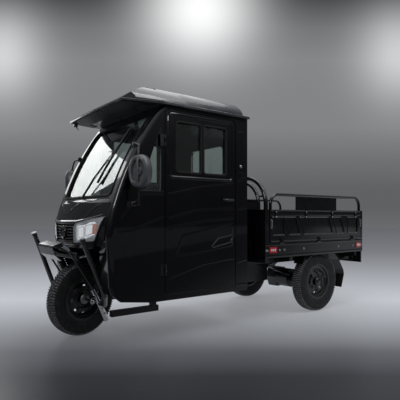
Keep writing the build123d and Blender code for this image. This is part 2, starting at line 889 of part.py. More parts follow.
def make_wiper():
    """Arm from a pivot on the cowl and a blade near the left pillar."""
    with BuildPart() as wiper:
        add(tube([(20, 16, 1040), (20, 6, 1062), (150, 70, 1215), (215, 108, 1310)], 5, 4))
        add(tube([(20, 20, 1030), (20, 8, 1060)], 13, 0))
        add(nose.part, mode=Mode.SUBTRACT)
        add(outer, mode=Mode.SUBTRACT)
    return wiper.part


mirror_low = 1086.0
mirror_high = 1322.0
mirror_x = 628.0
mirror_y = 150.0


def make_mirror():
    """Left mirror: deep rounded housing on two bracket arms."""
    with BuildPart() as piece:
        with BuildSketch(Plane.XZ.offset(-mirror_y + 38)) as face:
            with Locations((mirror_x, (mirror_low + mirror_high) / 2)):
                RectangleRounded(150, mirror_high - mirror_low, 60)
        extrude(amount=-76, taper=0)
        fillet(piece.faces().sort_by(Axis.Y)[0].edges(), 34)
        add(tube([(mirror_x - 20, mirror_y, mirror_high - 20), (mirror_x - 30, mirror_y + 10, 1398),
                  (cab_half - 34, mirror_y + 32, 1402)], 8, 20))
        add(tube([(mirror_x - 10, mirror_y, mirror_low + 20), (mirror_x - 12, mirror_y, 1000),
                  (cab_half - 3, mirror_y, 992)], 8, 20))
        add(block((cab_half, cab_half + 5), (mirror_y - 55, mirror_y + 55), (975, 1010)))
        add(outer, mode=Mode.SUBTRACT)
    return piece.part


keep("wiper", make_wiper())
mirror_left = make_mirror()
keep("mirror_left", mirror_left)
keep("mirror_right", other_side(mirror_left))

seat_front = 690.0
seat_half = 400.0
seat_height = 640.0

keep("seat_base", block((-seat_half, seat_half), (seat_front, cab_rear - cab_wall - 40), (floor_top, seat_height)))
seat_rear = cab_rear - cab_wall - 20
keep("driver_seat", plate_yz(
    [(seat_front - 20, seat_height + face_gap), (seat_rear, seat_height + face_gap), (seat_rear, 1150),
     (seat_rear - 60, 1150), (seat_rear - 100, 735), (seat_front - 20, 725)],
    -seat_half, seat_half, 18,
))

with BuildPart() as dash:
    add(plate_yz([(40, 940), (160, 960), (150, 1018), (40, 1030)],
                 -cab_half + cab_wall + 30, cab_half - cab_wall - 30))
    add(cab_solid(cab_wall + face_gap), mode=Mode.INTERSECT)
keep("dashboard", dash.part)


# Chassis

sub_rail_low = 182.0
sub_rail_depth = 43.0
sub_rail_rear = 480.0
rail_front = 90.0
kick_front = cab_rear + 5
kick_rear = kick_front + 105
chassis_rear = bed_rear - 30
cross_members = (440.0, cab_rear - 70)
member_half = bed_half - 30 - face_gap
short_member_half = 405.0
bed_members = ((bed_front + 50, member_half), (rear_axle_y - 390, member_half),
               (rear_axle_y + 250, short_member_half), (bed_rear - 70, member_half))
head_tube_radius = 28.0
neck_half = 25.0


def make_frame():
    """Two rails kicked up behind the cab, low front rails on posts, cross members and cab mounts."""
    with BuildPart() as frame:
        for side in (1, -1):
            x_low, x_high = sorted((side * (rail_half - rail_width / 2), side * (rail_half + rail_width / 2)))
            add(plate_yz(
                [(cross_members[0] - 20, cab_rail_low), (kick_front, cab_rail_low), (kick_rear, rail_low),
                 (chassis_rear, rail_low), (chassis_rear, rail_low + rail_depth),
                 (kick_rear - 30, rail_low + rail_depth), (kick_front - 5, cab_rail_top),
                 (cross_members[0] - 20, cab_rail_top)],
                x_low, x_high,
            ))
            add(block((x_low, x_high), (rail_front, sub_rail_rear), (sub_rail_low, sub_rail_low + sub_rail_depth)))
            add(block((x_low, x_high), (cross_members[0] - 20, cross_members[0] + 20),
                      (sub_rail_low + 5, cab_rail_low + 5)))
        for y in cross_members:
            add(block((-rail_half, rail_half), (y - 20, y + 20), (cab_rail_low, cab_rail_top)))
        for y, half in bed_members:
            add(block((-half, half), (y - 20, y + 20), (rail_low + 30, bed_floor - 12)))
    return frame.part


def make_neck():
    """Goose neck over the wheel arch with the head tube at its end."""
    back = arch_back + arch_sheet + 14
    with BuildPart() as neck:
        add(plate_yz(
            [(back, cab_rail_low), (back + 55, cab_rail_low), (back + 55, arch_roof + 31), (100, arch_roof + 121),
             (60, arch_roof + 76), (back, arch_roof + 20)],
            -neck_half, neck_half,
        ))
        add(block((-neck_half, neck_half), (back + 50, cross_members[0] - 20),
                  (cab_rail_low, cab_rail_low + cab_rail_depth)))
        low, high = axis_point(head_tube_low + 20), axis_point(head_tube_high)
        add(tube([tuple(low), tuple(high)], head_tube_radius, 0))
        add(tube([tuple(axis_point(head_tube_low - 90)), tuple(axis_point(head_tube_high + 150))],
                 stem_radius + running_gap, 0), mode=Mode.SUBTRACT)
    return neck.part


keep("chassis_frame", make_frame())
keep("frame_neck", make_neck())

axle_radius = 34.0
axle_half = 380.0
motor_radius = 92.0
motor_length = 150.0


def make_rear_axle():
    """Axle tube, motor case and backing plates, with a spindle at each end."""
    with BuildPart() as axle:
        with BuildSketch(Plane.YZ.offset(-axle_half)):
            with Locations((rear_axle_y, tyre_radius)):
                Circle(axle_radius)
        extrude(amount=2 * axle_half)
        for side in (1, -1):
            start = side * (rear_track_half - rim_width / 2 - 12)
            with BuildSketch(Plane.YZ.offset(start)):
                with Locations((rear_axle_y, tyre_radius)):
                    Circle(drum_radius)
            extrude(amount=-side * 14)
            with BuildSketch(Plane.YZ.offset(side * 300)):
                with Locations((rear_axle_y, tyre_radius)):
                    Circle(rear_spindle)
            extrude(amount=side * (rear_track_half - 300 + 52))
        add(plate_yz([(y, z) for y, z in (
            (rear_axle_y - 60, tyre_radius - 95), (rear_axle_y + 60, tyre_radius - 95),
            (rear_axle_y + 95, tyre_radius), (rear_axle_y + 60, tyre_radius + 95),
            (rear_axle_y - 60, tyre_radius + 95), (rear_axle_y - 95, tyre_radius))], -70, 50))
    return axle.part


keep("rear_axle", make_rear_axle())
with BuildPart() as motor:
    with BuildSketch(Plane.YZ.offset(50 + face_gap)):
        with Locations((rear_axle_y, tyre_radius)):
            Circle(motor_radius)
            Circle(axle_radius + face_gap, mode=Mode.SUBTRACT)
    extrude(amount=motor_length)
keep("drive_motor", motor.part)

spring_half_span = 470.0
leaf_width = 50.0
leaf_count = 4
leaf_thickness = 8.0


def make_leaf_springs():
    """A pack of bowed leaves under each rail, clamped on the axle, with its eyes at the hangers."""
    seat = tyre_radius + axle_radius
    end = rail_low - 24
    with BuildPart() as springs:
        for side in (1, -1):
            for leaf in range(leaf_count):
                reach = spring_half_span * (1 - 0.2 * (leaf_count - 1 - leaf))
                rise = (end - seat - leaf_count * leaf_thickness) * (reach / spring_half_span) ** 2
                low = seat + 4 + leaf * leaf_thickness
                with BuildSketch(Plane.YZ.offset(side * rail_half - leaf_width / 2)):
                    with BuildLine():
                        ThreePointArc((rear_axle_y - reach, low + rise), (rear_axle_y, low),
                                      (rear_axle_y + reach, low + rise))
                        Line((rear_axle_y + reach, low + rise), (rear_axle_y + reach, low + rise + leaf_thickness))
                        ThreePointArc((rear_axle_y + reach, low + rise + leaf_thickness),
                                      (rear_axle_y, low + leaf_thickness),
                                      (rear_axle_y - reach, low + rise + leaf_thickness))
                        Line((rear_axle_y - reach, low + rise + leaf_thickness), (rear_axle_y - reach, low + rise))
                    make_face()
                extrude(amount=leaf_width)
            add(block((side * rail_half - 30, side * rail_half + 30), (rear_axle_y - 45, rear_axle_y + 45),
                      (seat + face_gap, seat + 44)))
            for y in (rear_axle_y - spring_half_span + 6, rear_axle_y + spring_half_span - 6):
                add(block((side * rail_half - 12, side * rail_half + 12), (y - 14, y + 14), (end - 10, rail_low)))
    return springs.part


keep("leaf_springs", make_leaf_springs())
battery_front = bed_front + 80
keep("battery_box", block((-250, 250), (battery_front, battery_front + 260), (rail_low - 170, rail_low + 30)))


# Cargo bed

board_front = bed_front + 60.0
board_rear = bed_rear - 32.0
board_low = bed_floor + moving_gap
hinge_out = 6.0
drop_hinge_z = bed_floor - 4.0
drop_pin = 3.0
drop_eye = 5.5
side_hinges = (bed_front + 200, (bed_front + bed_rear) / 2, bed_rear - 190)
tail_hinges = (-420.0, 0.0, 420.0)


def drop_hinge_eye():
    """Eye and strap of a drop side's hinge, for a board whose outer face is the plane X = 0."""
    with BuildPart() as eye:
        with BuildSketch(Plane.XZ.offset(-20)):
            with Locations((hinge_out, drop_hinge_z)):
                Circle(drop_eye)
            with BuildLine():
                Polyline((hinge_out - 3, drop_hinge_z), (hinge_out + 3, drop_hinge_z), (4, bed_floor + 40),
                         (0, bed_floor + 40), (0, board_low), close=True)
            make_face()
            with Locations((hinge_out, drop_hinge_z)):
                Circle(drop_pin + running_gap, mode=Mode.SUBTRACT)
        extrude(amount=40)
    return eye.part


def drop_hinge_pin():
    """Pin and its two lugs on the sill, whose outer face is the plane X = 0."""
    with BuildPart() as pin:
        with BuildSketch(Plane.XZ.offset(-30)):
            with Locations((hinge_out, drop_hinge_z)):
                Circle(drop_pin)
        extrude(amount=60)
        for start in (21, -30):
            with BuildSketch(Plane.XZ.offset(-start)):
                with Locations((hinge_out, drop_hinge_z)):
                    Circle(drop_eye)
                with Locations((hinge_out / 2, drop_hinge_z - 3)):
                    Rectangle(hinge_out, 5)
            extrude(amount=-9)
    return pin.part


eye, pin = drop_hinge_eye(), drop_hinge_pin()
left_places = [Location((bed_half, y, 0)) for y in side_hinges]
tail_places = [Location((x, bed_rear, 0), (0, 0, 90)) for x in tail_hinges]
panel_rows = ((90, 240, 0), (300, 450, 60), (500, 930, 60), (990, 1120, 60), (1170, 1340, 0))
panel_low = bed_floor + 70
panel_high = board_top - 65
panel_depth = 5.0


def make_bed():
    """Floor sheet between two channel sills and the end beams, with the drop hinges' pins."""
    with BuildPart() as bed:
        add(block((-bed_half, bed_half), (bed_front, bed_rear), (bed_floor - 12, bed_floor)))
        for side in (1, -1):
            x_low, x_high = sorted((side * (bed_half - 30), side * bed_half))
            add(block((x_low, x_high), (bed_front, bed_rear), (sill_low, bed_floor - 6)))
        for y in (bed_front, bed_rear - 30):
            add(block((-bed_half, bed_half), (y, y + 30), (sill_low, bed_floor - 6)))
        for place in left_places:
            add(pin.moved(place))
            add(other_side(pin.moved(place)))
        for place in tail_places:
            add(pin.moved(place))
    return bed.part


def make_side_board():
    """Left drop side: pressed board, round rail with its infill plate, and hinge eyes."""
    x_low, x_high = bed_half - board_thickness, bed_half
    middle = (x_low + x_high) / 2
    rail_z = rail_top - rail_radius
    front, rear = board_front + rail_radius, board_rear - rail_radius
    with BuildPart() as board:
        add(block((x_low, x_high), (board_front, board_rear), (board_low, board_top)))
        for low, high, slant in panel_rows:
            low, high = bed_front + low, bed_front + high
            add(plate_yz([(low, panel_low), (high, panel_low), (high - slant, panel_high), (low - slant, panel_high)],
                         x_high - panel_depth, x_high + 1, 6), mode=Mode.SUBTRACT)
        add(tube(
            [(middle, front, board_top - 4), (middle, front, rail_z), (middle, rear, rail_z),
             (middle, rear, board_top - 4)],
            rail_radius, rail_corner,
        ))
        add(block((middle - 3, middle + 3), (infill_front, infill_rear), (board_top - 2, rail_z)))
        for place in left_places:
            add(eye.moved(place))
    return board.part


def make_tailgate():
    """Tailgate with the same hinges as the drop sides."""
    with BuildPart() as gate:
        add(block((-bed_half, bed_half), (bed_rear - board_thickness, bed_rear), (board_low, board_top)))
        for place in tail_places:
            add(eye.moved(place))
    return gate.part


side_board = make_side_board()
keep("side_board_left", side_board)
keep("side_board_right", other_side(side_board))
keep("cargo_bed", make_bed())
keep("tailgate", make_tailgate())

with BuildPart() as headboard:
    ribs = 14
    pitch = 2 * bed_half / ribs
    add(block((-bed_half, bed_half), (bed_front, bed_front + 12), (bed_floor, board_top)))
    for index in range(ribs):
        x = -bed_half + pitch * (index + 0.5)
        add(block((x - pitch / 4, x + pitch / 4), (bed_front - 12, bed_front), (sill_low + 13, board_top)))
    for side in (1, -1):
        x_low, x_high = sorted((side * (bed_half - 40), side * bed_half))
        add(block((x_low, x_high), (bed_front, bed_front + 50), (bed_floor, board_top)))
keep("headboard", headboard.part)

hoop_y = bed_front + 25
inner_hoop_y = bed_front - 18
inner_hoop_inset = 44.0
inner_hoop_radius = 16.0
with BuildPart() as hoop:
    foot = bed_half - 18
    top = hoop_top - hoop_radius
    add(tube([(-foot, hoop_y, board_top), (-foot, hoop_y, top), (foot, hoop_y, top), (foot, hoop_y, board_top)],
             hoop_radius, hoop_corner))
    inner_foot = foot - inner_hoop_inset
    inner_top = top - inner_hoop_inset
    add(tube([(-inner_foot, inner_hoop_y, board_top), (-inner_foot, inner_hoop_y, inner_top),
              (inner_foot, inner_hoop_y, inner_top), (inner_foot, inner_hoop_y, board_top)],
             inner_hoop_radius, hoop_corner - inner_hoop_inset))
    for side in (1, -1):
        add(tube([(side * (foot - 26), hoop_y, hoop_tie_z), (side * (inner_foot - 6), inner_hoop_y, hoop_tie_z)],
                 9, 0))
keep("headboard_hoop", hoop.part)

tail_plate_low = sill_low - 117
tail_lamp_x = 440.0
number_plate_half = 150.0
with BuildPart() as tail_bar:
    add(block((-bed_half, bed_half), (chassis_rear, chassis_rear + 12), (tail_plate_low, sill_low)))
    add(block((-number_plate_half, number_plate_half), (chassis_rear + 12, chassis_rear + 18),
              (tail_plate_low + 8, sill_low - 8)))
keep("tail_bar", tail_bar.part)

with BuildPart() as tail_lamps:
    for side in (1, -1):
        x_low, x_high = sorted((side * (tail_lamp_x - 75), side * (tail_lamp_x + 75)))
        add(block((x_low, x_high), (chassis_rear + 12, chassis_rear + 26), (tail_plate_low + 32, sill_low - 27)))
keep("tail_lamps", tail_lamps.part)

with BuildPart() as reflectors:
    for y, length in ((bed_front + 94, 90), (bed_rear - 77, 76)):
        for side in (1, -1):
            x_low, x_high = sorted((side * bed_half, side * (bed_half + 5)))
            add(block((x_low, x_high), (y - length / 2, y + length / 2), (sill_low + 41, bed_floor - 32)))
keep("reflectors", reflectors.part)


mudguard_half = 56.0
mudguard_x = 472.0
mudguard_sheet = 4.0
front_guard_line = ((-224, 182), (-166, 292), (-120, 322))
rear_guard_line = ((168, 300), (238, 268), (322, 192), (396, 82), (404, 40), (362, -86))


def make_mudguards():
    """Bent sheets before and behind each rear wheel, carried by a hanger from the bed's frame."""
    with BuildPart() as guards:
        for side in (1, -1):
            for line in (front_guard_line, rear_guard_line):
                with BuildSketch(Plane.YZ.offset(side * mudguard_x - mudguard_half)):
                    with BuildLine():
                        FilletPolyline(*[(rear_axle_y + y, tyre_radius + z) for y, z in line], radius=30)
                        offset(amount=mudguard_sheet, side=Side.LEFT)
                    make_face()
                extrude(amount=2 * mudguard_half)
            for y, z in (front_guard_line[-1], rear_guard_line[0]):
                low, high = sorted((side * (mudguard_x - 12), side * (mudguard_x + 12)))
                reach = 16 if y > 0 else -16
                y_low, y_high = sorted((rear_axle_y + y, rear_axle_y + y + reach))
                add(block((low, high), (y_low, y_high), (tyre_radius + z - 14, bed_floor - 12)))
    return guards.part


keep("mudguards", make_mudguards())

os.makedirs("parts", exist_ok=True)
boxes = [piece.bounding_box() for piece in pieces.values()]
overall_front = min(box.min.Y for box in boxes)
overall_rear = max(box.max.Y for box in boxes)
origin_y = (overall_front + overall_rear) / 2
for name, piece in pieces.items():
    placed = piece.moved(Location((0, -origin_y, 0)))
    placed.label = name
    export_step(placed, f"parts/{name}.step")
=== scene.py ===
from math import asin, ceil, cos, pi, radians, sin, sqrt

import bmesh
import bpy
from mathutils import Matrix, Vector


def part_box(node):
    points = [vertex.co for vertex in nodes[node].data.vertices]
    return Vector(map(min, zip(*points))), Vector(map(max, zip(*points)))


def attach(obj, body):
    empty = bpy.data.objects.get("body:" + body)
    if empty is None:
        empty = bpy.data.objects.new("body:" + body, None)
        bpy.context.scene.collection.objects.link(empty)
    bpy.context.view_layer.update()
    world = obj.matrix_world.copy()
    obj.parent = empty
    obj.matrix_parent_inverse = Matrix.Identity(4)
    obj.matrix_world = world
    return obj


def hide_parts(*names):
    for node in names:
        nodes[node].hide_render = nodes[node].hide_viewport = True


# Looks of a cargo tricycle: black enclosed cab, steered front wheel, drop-side bed.
# Places are written in the part's own millimetres and turned to the frame's metres at the end.
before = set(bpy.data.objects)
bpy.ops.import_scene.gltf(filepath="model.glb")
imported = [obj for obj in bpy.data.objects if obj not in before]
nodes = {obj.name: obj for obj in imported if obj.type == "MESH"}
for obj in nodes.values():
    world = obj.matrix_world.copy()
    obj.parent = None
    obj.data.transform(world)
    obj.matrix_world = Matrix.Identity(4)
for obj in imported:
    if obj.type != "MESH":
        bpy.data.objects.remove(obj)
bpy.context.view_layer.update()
MM = 0.001

# The part's datum in the frame, read from the rear axle's known place
REAR_AXLE_Y = 2150.0
axle_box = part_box("rear_tyre_left")
DATUM_Y = REAR_AXLE_Y - (axle_box[0].y + axle_box[1].y) / 2 / MM

# Steering, as the part has it
STEER_ANGLE = radians(14.0)
STEER_RAKE = radians(12.0)
STEER_OFFSET = 65.0
FRONT_AXLE_Y = 5.0
TYRE_RADIUS = 280.0
CROWN_RADIUS = 180.0
WHEEL_LEAN = asin(sin(STEER_ANGLE) * sin(STEER_RAKE))
FRONT_HUB_Z = ((TYRE_RADIUS - CROWN_RADIUS) * cos(WHEEL_LEAN) + CROWN_RADIUS
               - STEER_OFFSET * sin(STEER_RAKE) * cos(STEER_RAKE) * (1 - cos(STEER_ANGLE)))
HUB = Vector((0.0, FRONT_AXLE_Y, FRONT_HUB_Z))
STEER_FOOT = Vector((0.0, FRONT_AXLE_Y - STEER_OFFSET, FRONT_HUB_Z))
STEER_AXIS = Vector((0.0, sin(STEER_RAKE), cos(STEER_RAKE)))
STEERED = (Matrix.Translation(STEER_FOOT) @ Matrix.Rotation(STEER_ANGLE, 4, STEER_AXIS)
           @ Matrix.Translation(-STEER_FOOT))
TO_FRAME = Matrix.Scale(MM, 4) @ Matrix.Translation((0.0, -DATUM_Y, 0.0))

REAR_TRACK_HALF = 480.0
SIDES = (("left", 1), ("right", -1))


def linked(name, data):
    """A new object in the scene."""
    obj = bpy.data.objects.new(name, data)
    bpy.context.scene.collection.objects.link(obj)
    return obj


# Camera: the photograph's own place and framing, with the horizon a little below the middle
FRAME_WIDTH = 400
FOCAL_PIXELS = 440.0
HORIZON_PIXELS = 17.0
SENSOR_WIDTH = 36.0
CAMERA_PLACE = (3224.0, -1295.0, 900.0)
CAMERA_TURN = 53.1

camera_data = bpy.data.cameras.new("photo_camera")
camera_data.sensor_width = SENSOR_WIDTH
camera_data.lens = FOCAL_PIXELS / FRAME_WIDTH * SENSOR_WIDTH
camera_data.shift_y = HORIZON_PIXELS / FRAME_WIDTH
camera_data.clip_end = 200.0
camera = linked("photo_camera", camera_data)
camera.location = TO_FRAME @ Vector(CAMERA_PLACE)
camera.rotation_euler = (radians(90.0), 0.0, radians(CAMERA_TURN))
bpy.context.scene.camera = camera
bpy.context.scene.view_settings.view_transform = "Standard"


# Materials

def linear(hex_colour):
    """A written sRGB colour as the linear values that a shader takes."""
    channels = [int(hex_colour[i:i + 2], 16) / 255 for i in (0, 2, 4)]
    return [c / 12.92 if c <= 0.04045 else ((c + 0.055) / 1.055) ** 2.4 for c in channels] + [1.0]


def put(tree, kind, inputs=None, **settings):
    """Add a node with its settings; an input is a value or another node's socket."""
    node = tree.nodes.new(kind)
    for key, value in settings.items():
        setattr(node, key, value)
    for key, value in (inputs or {}).items():
        socket = node.inputs[key]
        if isinstance(value, bpy.types.NodeSocket):
            tree.links.new(value, socket)
        else:
            socket.default_value = value
    return node


def calc(tree, operation, first, second, kind="Math"):
    """A step of arithmetic on values, or on vectors where kind says so."""
    return put(tree, f"ShaderNode{kind}", {0: first, 1: second}, operation=operation).outputs[0]


def ramp_of(tree, share, stops):
    """Colour along a value, by its stops."""
    ramp = put(tree, "ShaderNodeValToRGB", {"Fac": share})
    for _ in stops[2:]:
        ramp.color_ramp.elements.new(0.5)
    for element, (place, colour) in zip(ramp.color_ramp.elements, stops):
        element.position = place
        element.color = linear(colour)
    return ramp.outputs["Color"]


def new_finish(name, colour, roughness, metallic=0.0, **sockets):
    """A material with its shader's plain values."""
    finish = bpy.data.materials.new(name)
    finish.use_nodes = True
    shader = finish.node_tree.nodes["Principled BSDF"]
    shader.inputs["Base Color"].default_value = linear(colour)
    shader.inputs["Roughness"].default_value = roughness
    shader.inputs["Metallic"].default_value = metallic
    for key, value in sockets.items():
        shader.inputs[key.replace("_", " ")].default_value = value
    return finish, finish.node_tree, shader


def coating(name, colour, roughness, metallic=0.0, shades=None, rough=None, bumps=(), cells=None, **sockets):
    """A finish that varies: shades by size, two colours and detail, roughness by size, low and high, and
    wavy bumps and cells by size and height. Sizes and heights are the real ones in millimetres."""
    finish, tree, shader = new_finish(name, colour, roughness, metallic, **sockets)
    place = put(tree, "ShaderNodeTexCoord").outputs["Object"]

    def noise(size, detail):
        return put(tree, "ShaderNodeTexNoise",
                   {"Vector": place, "Scale": 1000.0 / size, "Detail": detail}).outputs["Fac"]

    if shades:
        size, first, second, detail = shades
        shade = ramp_of(tree, noise(size, detail), ((0.35, first), (0.7, second)))
        tree.links.new(shade, shader.inputs["Base Color"])
    if rough:
        size, low, high = rough
        span = put(tree, "ShaderNodeMapRange", {"Value": noise(size, 4.0), "From Min": 0.3, "From Max": 0.7,
                                                "To Min": low, "To Max": high})
        tree.links.new(span.outputs["Result"], shader.inputs["Roughness"])
    normal = None
    for size, height in ((cells, *bumps) if cells else bumps):
        if normal is None and cells:
            value = put(tree, "ShaderNodeTexVoronoi", {"Vector": place, "Scale": 1000.0 / size}).outputs["Distance"]
        else:
            value = noise(size, 1.5)
        inputs = {"Height": value, "Distance": height * MM, "Strength": 1.0}
        if normal:
            inputs["Normal"] = normal
        normal = put(tree, "ShaderNodeBump", inputs).outputs["Normal"]
    if normal:
        tree.links.new(normal, shader.inputs["Normal"])
    return finish


# Two-pack gloss lacquer on pressed sheet: a deep black whose long reflections waver with the sheet
cab_lacquer = coating("cab_gloss_lacquer", "060607", 0.3, 0.0, (420, "030304", "070708", 3.0), (260, 0.26, 0.36),
                      ((230, 0.7), (9, 0.006)),
                      Specular_IOR_Level=0.12, Coat_Weight=1.0, Coat_Roughness=0.04)
# Moulded ABS, painted: the same black, smoother than the sheet
nose_lacquer = coating("nose_painted_abs", "070708", 0.25, 0.0, (300, "060607", "0B0B0C", 2.0), None,
                       ((160, 0.25),), Specular_IOR_Level=0.2, Coat_Weight=1.0, Coat_Roughness=0.03)
# Moulded black roof, painted greyer all over: the grey shades are painted sheen, a painted reflection of the bright
# light overhead
roof_gelcoat_painted_sheen = coating("roof_gelcoat_painted_sheen", "0C0D0F", 0.24, 0.0, (240, "24272B", "363A40", 4.0), (180, 0.2, 0.36),
                       ((150, 0.4),), Coat_Weight=0.7, Coat_Roughness=0.08)
# Powder coat on tubes and frame: satin, with its fine orange peel
powder_coat = coating("black_powder_coat", "0E0E0F", 0.34, 0.0, (120, "0B0B0C", "151516", 3.0), (60, 0.28, 0.42),
                      ((3.5, 0.05),), Coat_Weight=0.25, Coat_Roughness=0.2)
# Stoved enamel on the bed's pressed boards: gloss with shallow waves and faint scuffs
board_enamel = coating("bed_stoved_enamel", "070708", 0.3, 0.0, (170, "040405", "0B0B0C", 5.0), (90, 0.24, 0.4),
                       ((130, 0.5), (6, 0.02)),
                       Specular_IOR_Level=0.15, Coat_Weight=0.9, Coat_Roughness=0.06)
# Vulcanised rubber: dull carbon black with a dusty bloom
tyre_rubber = coating("tyre_rubber", "1B1B1C", 0.78, 0.0, (45, "161617", "262627", 5.0), (30, 0.66, 0.86),
                      ((4, 0.25),), Specular_IOR_Level=0.35)
# Tread rubber scuffed lighter where it meets the road
tread_rubber = coating("tread_rubber", "4C4C4D", 0.82, 0.0, (14, "3E3E40", "77777A", 4.0), None,
                       ((3, 0.3),), Specular_IOR_Level=0.3)
# Hard chrome on ground steel tube
hard_chrome = coating("hard_chrome", "D2D4D8", 0.07, 1.0, None, (25, 0.05, 0.13))
# Bright zinc plate on fasteners
zinc_plate = coating("bright_zinc_plate", "B4B6B8", 0.32, 1.0, (6, "9FA2A6", "C4C6C8", 2.0), (5, 0.25, 0.45))
# Yellow chromate on the hub's small parts
yellow_zinc = coating("yellow_zinc_chromate", "B39A58", 0.34, 1.0, (9, "9A8348", "C7AF6C", 2.0))
# Cast aluminium brake plate, as cast
cast_alloy = coating("cast_aluminium", "8C8E90", 0.48, 1.0, (22, "7B7D80", "9DA0A2", 3.0), None,
                     ((2.5, 0.12),))
# Grained ABS in dark grey: mirror backs
grained_abs = coating("mirror_grained_abs", "4A4B4E", 0.36, 0.0, (60, "434447", "54565A", 2.0),
                      cells=(1.8, 0.05), Coat_Weight=0.2, Coat_Roughness=0.25)
# Plain black plastics: grille, wiper, dashboard
black_abs = coating("black_textured_abs", "161617", 0.46, 0.0, (40, "131314", "1E1E20", 3.0), cells=(2.2, 0.06))
# EPDM seal: dead matt black
seal_rubber = coating("epdm_seal", "0D0D0D", 0.72, 0.0, (18, "0A0A0A", "151515", 2.0), None,
                      ((5, 0.1),), Specular_IOR_Level=0.3)
# Laminated and toughened safety glass with a faint green tint
safety_glass = coating("safety_glass", "E4EFEA", 0.0, 0.0, None, (300, 0.0, 0.02),
                       Transmission_Weight=1.0, IOR=1.5)
# Clear polycarbonate lens
clear_lens = coating("clear_polycarbonate", "F4F7FA", 0.03, 0.0, None, (60, 0.0, 0.03),
                     Alpha=0.16, Coat_Weight=1.0, IOR=1.58)
# Vacuum-metallised reflector behind the lenses
metallised = coating("vacuum_metallised", "DFE2E6", 0.12, 1.0, None, (12, 0.08, 0.2), cells=(9, 0.3))
# Opal diffuser of the lamp's white block, given a faint glow of its own: painted light standing in for daylight on the
# block, as the lamp is not switched on
opal_white_painted_glow = coating("opal_diffuser_painted_glow", "F2F4F6", 0.28, 0.0, (12, "E6E9EC", "FAFBFC", 1.0),
                     Coat_Weight=0.5, Emission_Strength=0.3)
# Amber acrylic over the indicator
amber_acrylic = coating("amber_acrylic", "E0702E", 0.18, 0.0, (10, "D25A1E", "EE8A4A", 1.0),
                        cells=(6, 0.4), Coat_Weight=0.8)
# Red and white retroreflectors: prism cells under a clear face
red_prisms = coating("red_retroreflector", "B8141A", 0.15, 0.0, (7, "8E0A10", "D8262A", 1.0),
                     cells=(5, 0.5), Coat_Weight=1.0)
white_prisms = coating("white_retroreflector", "DCD9D6", 0.2, 0.0, (6, "BDB9B6", "F2F0EE", 1.0),
                       cells=(5, 0.5), Coat_Weight=1.0)
# Silver side film on the fender
silver_film = coating("silver_film", "B9C4CF", 0.3, 0.25, (26, "8FA3B8", "C8D0D8", 1.0),
                      cells=(6, 0.15), Coat_Weight=0.8)
# Vinyl over foam, with its leather grain, and the thread of its piping
seat_vinyl = coating("seat_vinyl", "1C1C1F", 0.46, 0.0, (50, "18181A", "242427", 3.0), None,
                     ((22, 0.4),), (3.2, 0.18), Coat_Weight=0.15)
stitch_thread = coating("stitch_thread", "8A8A8C", 0.7, 0.0, (3, "7C7C7E", "9A9A9C", 1.0))
# Silvered mirror glass
silvered_glass = coating("silvered_glass", "CDD3D8", 0.02, 1.0, None, (80, 0.01, 0.04))
# Gloss enamel on the guard's tubes and the fender, painted dark grey: painted sheen, standing in for the light that
# shows on these black tubes
guard_enamel_painted_sheen = coating("guard_gloss_enamel_painted_sheen", "1E1E20", 0.28, 0.0, (70, "1A1A1C", "2E2E31", 4.0), (45, 0.22, 0.4),
                       ((40, 0.2),), Coat_Weight=1.0, Coat_Roughness=0.12)

NODE_FINISH = {
    guard_enamel_painted_sheen: "front_guard front_fender",
    cab_lacquer: "cab_front cab_header cab_rear_wall cab_side_left cab_side_right cab_floor door_left door_right"
                 " wheel_arch",
    nose_lacquer: "cab_nose door_handle_left door_handle_right",
    roof_gelcoat_painted_sheen: "roof",
    board_enamel: "cargo_bed side_board_left side_board_right tailgate headboard headboard_hoop tail_bar",
    powder_coat: "chassis_frame frame_neck rear_axle leaf_springs drive_motor battery_box mudguards front_fork"
                 " door_hinges_left door_hinges_right front_rim rear_rim_left rear_rim_right handlebar seat_base",
    black_abs: "grille dashboard",
    safety_glass: "windscreen cab_glass door_glass_left door_glass_right",
    red_prisms: "tail_lamps reflectors",
    seat_vinyl: "driver_seat",
    clear_lens: "headlamp_left headlamp_right",
    tyre_rubber: "front_tyre rear_tyre_left rear_tyre_right",
    grained_abs: "mirror_left mirror_right",
    seal_rubber: "wiper fork_springs",
}
for finish, names in NODE_FINISH.items():
    for name in names.split():
        nodes[name].data.materials.clear()
        nodes[name].data.materials.append(finish)


# Piece building, in the part's millimetres

SHEET_STEP = 40.0
BEAD_STEP = 30.0


def spun(profile, origin, axis, steps):
    """A profile's points, by place along an axis and radius, at each step round the axis."""
    along = Vector(axis).normalized()
    across = along.orthogonal().normalized()
    other = along.cross(across)
    turns = [across * cos(t) + other * sin(t) for t in (2 * pi * k / steps for k in range(steps))]
    return [[Vector(origin) + along * a + out * r for a, r in profile] for out in turns]


